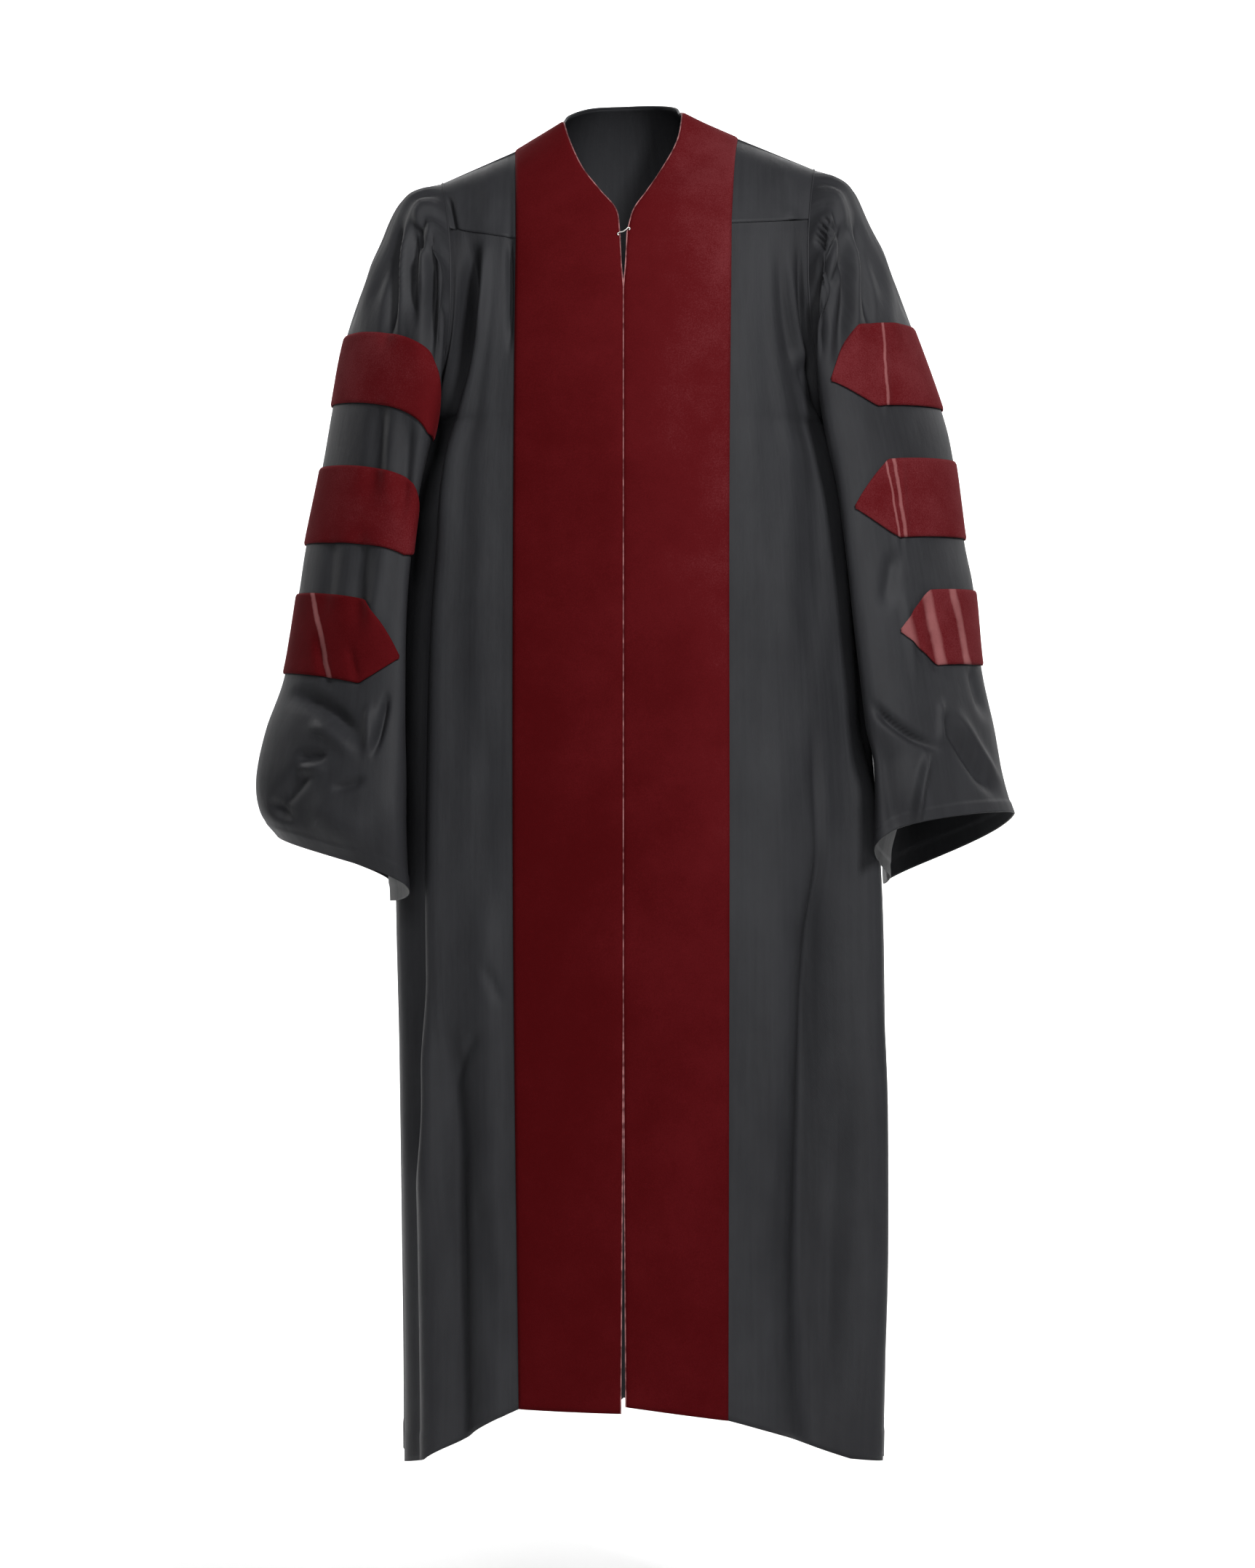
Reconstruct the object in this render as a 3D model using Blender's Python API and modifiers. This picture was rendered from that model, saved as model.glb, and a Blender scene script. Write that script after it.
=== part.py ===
"""Doctoral graduation gown, worn and hollow: black cloth, velvet fronts and velvet bars on the sleeves.

The front faces -Y and +X is the wearer's left. The origin is between the shoulders at the foot of
the neck, which carries the gown. Tables are in millimetres, and heights are drops below the origin.
"""

import math
from collections import namedtuple

import bpy
import numpy as np

GOWN = "graduation_gown"
MM = 0.001
CLOTH_WALL = 1.5
VELVET_WALL = 1.4
# Gaps between the outer faces of two pieces. Where a seam turns a corner, the inner faces come closer.
SEAM_GAP = 0.3
YOKE_GAP = 1.5
RIDGE_GAP = 1.8
SLEEVE_GAP = 0.5
VELVET_LIFT = 0.3
BAR_LIFT = 0.8

# Faces of each grid.
VELVET_COLUMNS = 4
FRONT_CLOTH_COLUMNS = 13
YOKE_ROWS = 4
ARMHOLE_ROWS = 6
FRONT_LOWER_ROWS = 12
BACK_LOWER_ROWS = 10
BACK_COLUMNS = 56
SHOULDER_COLUMNS = 8
BACK_NECK_COLUMNS = 14

# Half widths and depths of the body under the armholes; over them only the depths count.
BODY_COLUMNS = "drop left right front back"
BODY = (
    (60, 160, 172, 92, 86),
    (100, 160, 172, 98, 99),
    (150, 160, 174, 109, 111),
    (200, 165, 180, 117, 118),
    (290, 176, 190, 125, 122),
    (320, 188, 201, 126, 122),
    (350, 195, 208, 127, 123),
    (420, 204, 217, 129, 124),
    (510, 211, 226, 131, 127),
    (600, 213, 234, 134, 130),
    (720, 214, 243, 137, 135),
    (860, 211, 246, 140, 140),
    (1000, 208, 248, 144, 146),
    (1130, 206, 247, 148, 152),
    (1262, 205, 244, 152, 158),
)
SIDE_SEAM_Y = 4
FRONT_ROUNDNESS = 2.6
BACK_ROUNDNESS = 2.3
BODY_TURN = math.radians(90) - 1e-6
CHEST_TURN = math.radians(64)
CHEST_TURN_DROPS = (130, 290)
EDGE_PULL = 4
# The row at a panel's top seam, with one close under it that gives its direction.
SEAM_ROWS = np.array([0, 0.01])

# The armhole is an upright ellipse, drawn in towards the chest halfway down.
Armhole = namedtuple("Armhole", "top_x top_drop bottom_x bottom_drop depth inset")
ARMHOLE = {
    "left": Armhole(-170, 60, -176, 290, 84, 14),
    "right": Armhole(179, 47, 190, 290, 84, 14),
}

# The shoulder seam: neck end, outer edge of the velvet, armhole.
SHOULDER = {
    "left": ((-56, 0, -3), (-101, 2, -30), (-170, SIDE_SEAM_Y, -60)),
    "right": ((53, 0, 5), (107, 2, -18), (179, SIDE_SEAM_Y, -47)),
}
# The edge of the V neck, from the shoulder seam down to its foot.
NECK_EDGE = {
    "left": (
        (-56, 0, -3),
        (-55.5, -16, -6),
        (-51, -38, -24),
        (-37, -61, -57),
        (-21, -80, -80),
        (-6, -95, -101),
        (-3.6, -102, -121),
    ),
    "right": (
        (53, 0, 5),
        (54.5, -16, 2.5),
        (51, -38, -24),
        (33, -62, -61),
        (21, -80, -81),
        (9, -94, -100),
        (3.6, -102, -121),
    ),
}
BACK_NECK = ((-56, 0, -3), (-51, 26, 8), (-32, 48, 18), (0, 60, 22), (30, 50, 21), (49, 26, 15), (53, 0, 5))

# Drops of the yoke seam and of the hem at the centre, at the velvet's edge and at the side. The hem's
# third drop is halfway round from the velvet to the side.
YOKE_SEAM = {"left": (121, 124, 110), "right": (121, 110, 103)}
# How far the yoke stands off a straight line along the velvet's outer edge, halfway down.
VELVET_BULGE = (0, -2, 15)
HEM = {"left": (1194, 1191, 1244, 1262), "right": (1188, 1201, 1243, 1257)}
BACK_YOKE_DROP = 158
BACK_HEM_RISE = 26

VELVET_EDGE_COLUMNS = "drop left right"
VELVET_EDGE = ((100, 98, 99), (300, 99.5, 96.5), (700, 100, 96), (1200, 94, 94.5))
# Half the gap between the two fronts: a slit under the neck, and a small opening at the hem.
SLIT_COLUMNS = "drop half_gap"
SLIT = ((121, 3.6), (150, 2.2), (173, 0.15), (820, 0.15), (1000, 1.2), (1200, 2.6))

# Folds of the fronts. Across is 1 at the velvet's edge and 2 at the side seam.
Fold = namedtuple("Fold", "start stop across_start across_stop width height")
FOLDS = {
    "left": (
        Fold(125, 620, 1.22, 1.12, 0.07, 2.5),
        Fold(104, 1060, 1.36, 1.44, 0.09, 7.0),
        Fold(104, 1000, 1.62, 1.64, 0.13, -20.0),
        Fold(125, 480, 1.86, 1.82, 0.05, 3.0),
        Fold(700, 1400, 1.12, 1.11, 0.07, 5.0),
        Fold(820, 1400, 1.33, 1.28, 0.07, -12.0),
        Fold(800, 1400, 1.50, 1.47, 0.10, 8.0),
        Fold(880, 1400, 1.72, 1.70, 0.09, -9.0),
    ),
    "right": (
        Fold(110, 560, 1.40, 1.24, 0.07, 2.5),
        Fold(110, 520, 1.55, 1.42, 0.06, -3.0),
        Fold(110, 620, 1.69, 1.60, 0.07, 5.0),
        Fold(110, 700, 1.83, 1.78, 0.06, -8.0),
        Fold(560, 1400, 1.18, 1.12, 0.08, 4.0),
        Fold(680, 1400, 1.38, 1.34, 0.11, -20.0),
        Fold(560, 1400, 1.64, 1.62, 0.10, 15.0),
        Fold(660, 1400, 1.86, 1.86, 0.06, -4.0),
    ),
}
FOLD_FADE = 90
# Folds die out towards the velvet and the side seam, between these places across.
FOLD_IN = (0.95, 1.1)
FOLD_OUT = (2, 1.86)

# Gathers under the back yoke turn into wider flutes further down.
BACK_GATHERS = 14
GATHER_HEIGHT = 3.2
GATHER_START = 30
GATHER_LOSS = 0.75
BACK_FLUTES = 7
FLUTE_HEIGHT = 11
FLUTE_DROPS = (250, 1100)
FLUTE_WANDER = 0.6
BACK_FOLD_OUT = (1, 0.8)

# One row for each ring of a sleeve, from the armhole to the cuff. A ring runs from its outer point
# round the front to its inner point. Inset draws its front towards the body, and curl under 2 takes
# its inner side along. Bend keeps its front high and its inner side low, and lift raises its front
# over its back. Past ring BACK_INSET_RING only a share of the inset is left at the back.
SLEEVE_COLUMNS = "outer_x outer_drop inner_x inner_drop depth middle_y inset curl bend lift"
SLEEVE = {
    "left": (
        (-170, 60, -176, 290, 84, 4, 14, 2.0, 1.0, 0),
        (-188, 66, -183, 297, 88, 1, 21, 1.8, 1.2, 0),
        (-205, 76, -189, 303, 91, -2, 30, 1.6, 1.4, 0),
        (-218, 97, -194, 308, 94, -4, 40, 1.4, 1.6, 0),
        (-236, 144, -199, 316, 97, -6, 50, 1.3, 1.9, 0),
        (-260, 206, -203, 326, 99, -6, 58, 1.2, 2.0, 0),
        (-273, 272, -208, 352, 100, -6, 56, 1.5, 1.7, 0),
        (-283, 329, -212, 392, 100, -6, 54, 1.9, 1.7, 0),
        (-298, 402, -216, 446, 102, -6, 54, 2.0, 1.7, 0),
        (-305, 447, -219, 505, 105, -6, 55, 2.0, 1.5, 0),
        (-318, 523, -221, 582, 110, -6, 60, 1.9, 1.3, 0),
        (-336, 575, -221, 628, 119, -6, 66, 1.7, 1.0, 0),
        (-345, 620, -221, 672, 127, -6, 68, 1.6, 0.9, 1),
        (-341, 652, -220, 710, 125, -6, 66, 1.5, 0.8, 1),
        (-325, 673, -219, 735, 119, -6, 62, 1.5, 0.7, 1),
    ),
    "right": (
        (179, 47, 190, 290, 84, 4, 14, 2.0, 1.0, 0),
        (198, 55, 197, 296, 88, 1, 20, 1.8, 1.2, 0),
        (215, 69, 202, 301, 91, -2, 28, 1.6, 1.4, 0),
        (228, 97, 207, 306, 94, -4, 38, 1.4, 1.6, 0),
        (246, 138, 211, 312, 97, -6, 50, 1.3, 1.9, 0),
        (271, 198, 215, 318, 99, -6, 60, 1.2, 2.2, 0),
        (299, 276, 219, 342, 100, -6, 64, 1.4, 2.1, 0),
        (310, 323, 223, 382, 100, -6, 62, 1.7, 2.0, 0),
        (320, 397, 228, 450, 102, -6, 60, 1.9, 2.0, 0),
        (329, 444, 232, 500, 105, -6, 60, 1.9, 1.8, 0),
        (336, 515, 238, 566, 110, -6, 58, 1.9, 1.8, 0),
        (348, 572, 244, 614, 117, -6, 60, 1.8, 1.4, 4),
        (355, 612, 248, 655, 122, -6, 62, 1.7, 1.1, 9),
        (361, 636, 250, 690, 124, -6, 63, 1.6, 0.9, 15),
        (367, 654, 251, 713, 124, -6, 64, 1.6, 0.75, 21),
    ),
}
BACK_INSET_SHARE = 0.55
BACK_INSET_RING = 3
SLEEVE_RINGS = (0, 1, 2, 3, 4, 5, 5.5, 6, 7, 7.5, 8, 9, 9.5, 10, 11, 12, 13, 14)
HEAD_PLEATS = 11
HEAD_SPAN = math.radians(118)
PLEAT_HEIGHT = 3.4
PLEAT_CREST = 0.5
PLEAT_VALLEY = 1.5
PLEAT_SHARPNESS = 3
PLEAT_RINGS = ((0, 0.0), (1, 0.8), (3, 1.0), (4.4, 0.7), (5, 0.0))
FACES_PER_PLEAT = 3
UNDERARM_FACES = 10

# Velvet bars, each one ring high. The reach is along the middle of the ring, each way from its outer point.
Bar = namedtuple("Bar", "top reach_front reach_back")
BARS = {
    "left": (Bar(5, 200, 128), Bar(7, 190, 128), Bar(9, 166, 124)),
    "right": (Bar(5, 151, 128), Bar(7, 157, 128), Bar(9, 135, 124)),
}
BAR_POINT = 40
BAR_ROUNDNESS = 0.9
BAR_BLUNT = 0.05
BAR_HEIGHT_SHARE = 0.97
LEAST_FACE = 3

# The hook's wire over the slit: x, z and how far it leans back.
HOOK_WIRE = 0.6
HOOK_LIFT = 1.7
HOOK_PATH = (
    (-4.4, -123.8, 0.3),
    (-5.2, -122.2, 0.3),
    (-3.8, -121.0, 0.3),
    (-0.8, -120.4, 0.4),
    (2.4, -118.4, 0.9),
    (5.0, -116.4, 1.8),
    (6.0, -117.2, 2.0),
    (5.4, -118.6, 1.8),
)

CLOTH_COLOUR = (0.018, 0.018, 0.020)
VELVET_COLOUR = (0.085, 0.006, 0.010)
WIRE_COLOUR = (0.62, 0.60, 0.57)


def named(columns, rows):
    """A table's columns by name."""
    return dict(zip(columns.split(), np.array(rows, float).T))


def smooth_between(keys, values, at):
    """The value of a smooth curve through the rows of a table."""
    slopes = np.gradient(values, keys)
    at = np.clip(at, keys[0], keys[-1])
    row = np.clip(np.searchsorted(keys, at, side="right") - 1, 0, len(keys) - 2)
    width = keys[row + 1] - keys[row]
    f = (at - keys[row]) / width
    start = values[row] * (1 + 2 * f) * (1 - f) ** 2 + slopes[row] * width * f * (1 - f) ** 2
    stop = values[row + 1] * (3 - 2 * f) * f**2 - slopes[row + 1] * width * f**2 * (1 - f)
    return start + stop


def smooth_step(low, high, at):
    f = np.clip((at - low) / (high - low), 0, 1)
    return f * f * (3 - 2 * f)


def along(points, at):
    """Points on a smooth curve through the given ones, at shares of its length."""
    points = np.array(points, float)
    steps = np.linalg.norm(np.diff(points, axis=0), axis=1)
    keys = np.concatenate([[0], np.cumsum(steps)]) / steps.sum()
    return np.stack([smooth_between(keys, points[:, k], at) for k in range(3)], axis=-1)


def armhole(side, angle):
    """Points of the armhole. The angle is 0 at the shoulder, 90 degrees in front and 180 under the arm."""
    hole = ARMHOLE[side]
    down = (1 - np.cos(angle)) / 2
    inward = -np.sign(hole.top_x) * hole.inset * np.sin(angle) ** 2
    x = hole.top_x + (hole.bottom_x - hole.top_x) * down + inward
    y = SIDE_SEAM_Y - hole.depth * np.sin(angle)
    z = -(hole.top_drop + (hole.bottom_drop - hole.top_drop) * down)
    return np.stack([x, y, z], axis=-1)


def armhole_angle(side, drop):
    """The angle, from 0 to 180 degrees, at which the armhole is this far down."""
    hole = ARMHOLE[side]
    share = (drop - hole.top_drop) / (hole.bottom_drop - hole.top_drop)
    return np.arccos(np.clip(1 - 2 * share, -1, 1))


def side_edge(side, drop, facing):
    """Where a panel ends at this drop: the armhole, or the side seam under it. Facing is 1 at the front."""
    body = named(BODY_COLUMNS, BODY)
    sign = 1 if side == "right" else -1
    edge = armhole(side, facing * armhole_angle(side, drop))
    under = drop >= ARMHOLE[side].bottom_drop
    x = np.where(under, sign * smooth_between(body["drop"], body[side], drop), edge[..., 0])
    y = np.where(under, SIDE_SEAM_Y, edge[..., 1])
    return x, y


def body_point(side, drop, turn, depth_name):
    """Points of the body, where turn is 0 at the middle and 1 at the side edge."""
    front = depth_name == "front"
    body = named(BODY_COLUMNS, BODY)
    middle_y = smooth_between(body["drop"], body[depth_name], drop) * (-1 if front else 1)
    power = 2 / (FRONT_ROUNDNESS if front else BACK_ROUNDNESS)
    end_x, end_y = side_edge(side, drop, 1 if front else -1)
    last = end_turn(drop)
    angle = turn * last
    x = end_x * (np.sin(angle) / np.sin(last)) ** power
    y = SIDE_SEAM_Y + (middle_y - SIDE_SEAM_Y) * np.cos(angle) ** power
    plain_end_y = SIDE_SEAM_Y + (middle_y - SIDE_SEAM_Y) * np.cos(last) ** power
    y = y + (end_y - plain_end_y) * turn**EDGE_PULL
    return np.stack([x, y, -drop], axis=-1)


def end_turn(drop):
    """How far round a panel turns: to its full width under the arm, and less beside the armhole."""
    return CHEST_TURN + (BODY_TURN - CHEST_TURN) * smooth_step(*CHEST_TURN_DROPS, drop)


def outward_normals(grid, outward):
    """Unit normals of a grid of points, turned to the side of the given direction at its middle."""
    normals = np.cross(np.gradient(grid, axis=0), np.gradient(grid, axis=1))
    normals /= np.linalg.norm(normals, axis=-1, keepdims=True)
    middle = normals[grid.shape[0] // 2, grid.shape[1] // 2]
    return normals * np.sign(middle @ np.array(outward, float))


def fold_heights(side, drop, across):
    """How far the folds of a front stand off its plain form."""
    height = np.zeros(np.broadcast(drop, across).shape)
    for fold in FOLDS[side]:
        share = (drop - fold.start) / (fold.stop - fold.start)
        place = fold.across_start + (fold.across_stop - fold.across_start) * share
        begun = smooth_step(fold.start, fold.start + FOLD_FADE, drop)
        ended = smooth_step(fold.stop - FOLD_FADE, fold.stop, drop)
        height += fold.height * begun * (1 - ended) * np.exp(-(((across - place) / fold.width) ** 2))
    return height * smooth_step(*FOLD_IN, across) * smooth_step(*FOLD_OUT, across)


def front_panel(side, down, across):
    """Points of a front from its yoke seam (down 0) to its hem (1), for places across as in FOLDS."""
    down, across = np.meshgrid(down, across, indexing="ij")
    seam = np.interp(across, (0, 1, 2), YOKE_SEAM[side])
    hem = np.interp(across, (0, 1, 1.5, 2), HEM[side])
    drop = seam + (hem - seam) * down
    edge = named(VELVET_EDGE_COLUMNS, VELVET_EDGE)
    slit = named(SLIT_COLUMNS, SLIT)
    velvet_x = smooth_between(edge["drop"], edge[side], drop)
    centre_x = np.interp(drop, slit["drop"], slit["half_gap"])
    end_x = np.abs(side_edge(side, drop, 1)[0])
    last = end_turn(drop)
    x = centre_x + (velvet_x - centre_x) * np.minimum(across, 1)
    angle = np.arcsin(np.clip((x / end_x) ** (FRONT_ROUNDNESS / 2) * np.sin(last), 0, 1))
    angle = angle + (last - angle) * np.clip(across - 1, 0, 1)
    grid = body_point(side, drop, angle / last, "front")
    normals = outward_normals(grid, (0, -1, 0))
    return grid + normals * fold_heights(side, drop, across)[..., None]


def armhole_rows(side, seam_drop, hem_drop, count, lower_rows):
    """Shares of a panel's height for its rows: close beside the armhole, then even down to the hem."""
    angles = np.linspace(armhole_angle(side, seam_drop), math.pi, count)
    drops = -armhole(side, angles)[:, 2]
    upper = (drops - seam_drop) / (hem_drop - seam_drop)
    return np.concatenate([upper, np.linspace(upper[-1], 1, lower_rows + 1)[1:]])


def patch(top, bottom, first, last):
    """A surface between four edges: top and bottom run across, first and last run down."""
    down = np.linspace(0, 1, len(first))[:, None, None]
    across = np.linspace(0, 1, len(top))[None, :, None]
    between_ends = (1 - down) * top[None] + down * bottom[None]
    between_sides = (1 - across) * first[:, None] + across * last[:, None]
    corners = (1 - down) * ((1 - across) * top[0] + across * top[-1])
    corners = corners + down * ((1 - across) * bottom[0] + across * bottom[-1])
    return between_ends + between_sides - corners


def straight(start, stop, count):
    return np.linspace(np.array(start, float), np.array(stop, float), count)


def front_across(velvet_columns, cloth_columns):
    """Places across a front: 0 at its centre edge, 1 at the velvet's outer edge and 2 at the side."""
    return np.concatenate([np.linspace(0, 1, velvet_columns + 1), np.linspace(1, 2, cloth_columns + 1)[1:]])


def front_yoke(side, rows, velvet_columns, cloth_columns):
    """Points of a front yoke, from the shoulder seam to the seam with the front under it."""
    neck, velvet, tip = SHOULDER[side]
    over_velvet = straight(neck, velvet, velvet_columns + 1)
    over_cloth = straight(velvet, tip, cloth_columns + 1)
    top = np.concatenate([over_velvet, over_cloth[1:]])
    bottom = front_panel(side, SEAM_ROWS, front_across(velvet_columns, cloth_columns))[0]
    first = along(NECK_EDGE[side], np.linspace(0, 1, rows + 1))
    first[-1] = bottom[0]
    bulge = np.sin(np.linspace(0, math.pi, rows + 1))[:, None] * np.array(VELVET_BULGE, float)
    split = straight(velvet, bottom[velvet_columns], rows + 1) + bulge
    angles = np.linspace(0, armhole_angle(side, YOKE_SEAM[side][2]), rows + 1)
    under_velvet = patch(top[: velvet_columns + 1], bottom[: velvet_columns + 1], first, split)
    beside_it = patch(top[velvet_columns:], bottom[velvet_columns:], split, armhole(side, angles))
    return np.concatenate([under_velvet, beside_it[:, 1:]], axis=1)


def back_panel(down, across):
    """Points of the back from its yoke seam (down 0) to its hem (1); across is -1 left, 1 right."""
    down, across = np.meshgrid(down, across, indexing="ij")
    middle = np.cos(across * math.pi / 2)
    corners = np.where(across < 0, HEM["left"][-1], HEM["right"][-1])
    hem = corners - BACK_HEM_RISE * smooth_step(0, 1, middle)
    drop = BACK_YOKE_DROP + (hem - BACK_YOKE_DROP) * down
    grid = np.where(
        (across < 0)[..., None],
        body_point("left", drop, np.abs(across), "back"),
        body_point("right", drop, np.abs(across), "back"),
    )
    seam = smooth_step(0, GATHER_START, drop - BACK_YOKE_DROP)
    lower = smooth_step(*FLUTE_DROPS, drop)
    wander = FLUTE_WANDER * np.sin(math.pi * across)
    gathers = GATHER_HEIGHT * np.cos(across * math.pi * BACK_GATHERS) * seam * (1 - GATHER_LOSS * lower)
    flutes = FLUTE_HEIGHT * np.cos(across * math.pi * BACK_FLUTES + wander) * lower
    height = (gathers + flutes) * smooth_step(*BACK_FOLD_OUT, np.abs(across))
    return grid + outward_normals(grid, (0, 1, 0)) * height[..., None]


def back_yoke(rows, shoulder_columns, neck_columns, across):
    """Points of the back yoke, from one shoulder to the other under the back of the neck."""
    left_neck, left_velvet, left_tip = SHOULDER["left"]
    right_neck, right_velvet, right_tip = SHOULDER["right"]
    half = shoulder_columns // 2
    top = np.concatenate(
        [
            straight(left_tip, left_velvet, half + 1),
            straight(left_velvet, left_neck, half + 1)[1:],
            along(BACK_NECK, np.linspace(0, 1, neck_columns + 1))[1:-1],
            straight(right_neck, right_velvet, half + 1),
            straight(right_velvet, right_tip, half + 1)[1:],
        ]
    )
    bottom = back_panel(SEAM_ROWS, across)[0]
    edges = [
        armhole(side, -np.linspace(0, armhole_angle(side, BACK_YOKE_DROP), rows + 1))
        for side in ("left", "right")
    ]
    return patch(top, bottom, *edges)


def sleeve_point(side, ring, angle):
    """Points of a sleeve; ring counts the table's rows and angle is 0 outside, 90 degrees at the front."""
    table = named(SLEEVE_COLUMNS, SLEEVE[side])
    keys = np.arange(len(SLEEVE[side]), dtype=float)
    at = {name: smooth_between(keys, values, ring) for name, values in table.items()}
    down = ((1 - np.cos(angle)) / 2) ** at["bend"]
    over = (1 + np.cos(angle)) / 2
    sign = np.sign(at["outer_x"])
    back_share = BACK_INSET_SHARE + (1 - BACK_INSET_SHARE) * smooth_step(BACK_INSET_RING, 0, ring)
    inset = sign * at["inset"] * np.where(np.sin(angle) > 0, 1, back_share)
    curl = np.where((np.sin(angle) > 0) & (np.cos(angle) < 0), at["curl"], 2)
    x = at["inner_x"] + (at["outer_x"] - at["inner_x"]) * over - inset * np.abs(np.sin(angle)) ** curl
    y = at["middle_y"] - at["depth"] * np.sin(angle)
    z = -(at["outer_drop"] + (at["inner_drop"] - at["outer_drop"]) * down) + at["lift"] * np.sin(angle)
    return np.stack([x, y, z], axis=-1)


def sleeve_angles():
    """A few faces to each pleat of the sleeve head, and wider ones under the arm."""
    head = np.linspace(-HEAD_SPAN, HEAD_SPAN, HEAD_PLEATS * FACES_PER_PLEAT + 1)
    under = np.linspace(HEAD_SPAN, math.pi, UNDERARM_FACES // 2 + 1)[1:]
    return np.concatenate([-under[-2::-1], head, under])


def pleat_heights(ring, angle):
    """Rounded pleats with narrow valleys round the sleeve head."""
    phase = (angle + HEAD_SPAN) / (2 * HEAD_SPAN) * HEAD_PLEATS
    wave = PLEAT_CREST - PLEAT_VALLEY * np.abs(np.cos(math.pi * phase)) ** PLEAT_SHARPNESS
    rings, shares = np.array(PLEAT_RINGS).T
    inside = (phase > 0) & (phase < HEAD_PLEATS)
    return PLEAT_HEIGHT * wave * np.interp(ring, rings, shares) * inside


def sleeve(side, rings, angles):
    """Points of a whole sleeve with its pleats, closed round the arm."""
    wrapped = np.concatenate([angles[-1:] - 2 * math.pi, angles, angles[:1] + 2 * math.pi])
    ring, angle = np.meshgrid(rings, wrapped, indexing="ij")
    grid = sleeve_point(side, ring, angle)
    outward = 1 if side == "right" else -1
    normals = np.cross(np.gradient(grid, axis=0), np.gradient(grid, axis=1))
    normals /= np.linalg.norm(normals, axis=-1, keepdims=True)
    normals *= outward * np.sign(normals[len(rings) // 2, np.argmin(np.abs(wrapped)), 0])
    grid = grid + normals * pleat_heights(ring, angle)[..., None]
    grid[0, :, 0] += outward * SLEEVE_GAP
    return grid[:, 1:-1]


def bar(tube, angles, facing, row):
    """Points of a velvet bar between two rings of its sleeve's points, with a chevron point at each end."""
    rings = [tube[SLEEVE_RINGS.index(row.top + step)] for step in (0, 0.5, 1)]
    lengths = np.concatenate([[0], np.cumsum(np.linalg.norm(np.diff(rings[1], axis=0), axis=1))])
    lengths -= np.interp(0, angles, lengths)
    first, last = -row.reach_back, row.reach_front
    corners = np.array((first, first + BAR_POINT, last - BAR_POINT, last), float)
    inside = lengths[(lengths > first) & (lengths < last)]
    inside = inside[np.abs(inside[:, None] - corners).min(axis=1) > LEAST_FACE]
    places = np.sort(np.concatenate([corners, inside]))
    share = np.clip(np.minimum(places - first, last - places) / BAR_POINT, BAR_BLUNT, 1)
    share = share[:, None] ** BAR_ROUNDNESS * BAR_HEIGHT_SHARE
    upper, middle, lower = (
        np.stack([np.interp(places, lengths, ring[:, k]) for k in range(3)], axis=-1) for ring in rings
    )
    grid = np.stack([middle + (upper - middle) * share, middle, middle + (lower - middle) * share])
    return grid + outward_normals(grid, facing) * BAR_LIFT


def pull_in(grid, edge, distance):
    """Moves one edge of a grid back along the cloth, which leaves the gap of a seam."""
    grid = grid.copy()
    first, second = {
        "top": (np.s_[0], np.s_[1]),
        "bottom": (np.s_[-1], np.s_[-2]),
        "first": (np.s_[:, 0], np.s_[:, 1]),
        "last": (np.s_[:, -1], np.s_[:, -2]),
    }[edge]
    step = grid[second] - grid[first]
    grid[first] += step / np.linalg.norm(step, axis=-1, keepdims=True) * distance
    return grid


def material(name, colour, roughness, metallic=0.0):
    made = bpy.data.materials.new(name)
    made.use_nodes = True
    shader = made.node_tree.nodes["Principled BSDF"]
    shader.inputs["Base Color"].default_value = (*colour, 1)
    shader.inputs["Roughness"].default_value = roughness
    shader.inputs["Metallic"].default_value = metallic
    return made


def cloth_object(name, grid, outward, wall, finish, closed=False, outside=False):
    """A wall of cloth on a grid of points, thickened inwards, or outwards for what lies on a panel."""
    rows, columns = grid.shape[:2]
    faces = []
    for start in range(0, (rows - 1) * columns, columns):
        for column in range(columns if closed else columns - 1):
            after = (column + 1) % columns
            faces.append((start + column, start + after, start + columns + after, start + columns + column))
    row = rows // 2
    column = np.clip(np.argmax(grid[row] @ np.array(outward, float)), 1, columns - 2)
    across = grid[row, column + 1] - grid[row, column]
    down = grid[row, column] - grid[row - 1, column]
    if np.cross(down, across) @ np.array(outward, float) > 0:
        faces = [face[::-1] for face in faces]
    mesh = bpy.data.meshes.new(name)
    mesh.from_pydata((grid.reshape(-1, 3) * MM).tolist(), [], faces)
    mesh.shade_smooth()
    mesh.materials.append(finish)
    made = bpy.data.objects.new(name, mesh)
    thicken = made.modifiers.new("wall", "SOLIDIFY")
    thicken.thickness = wall * MM
    thicken.offset = 1 if outside else -1
    bpy.data.collections[GOWN].objects.link(made)
    return made


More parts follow.
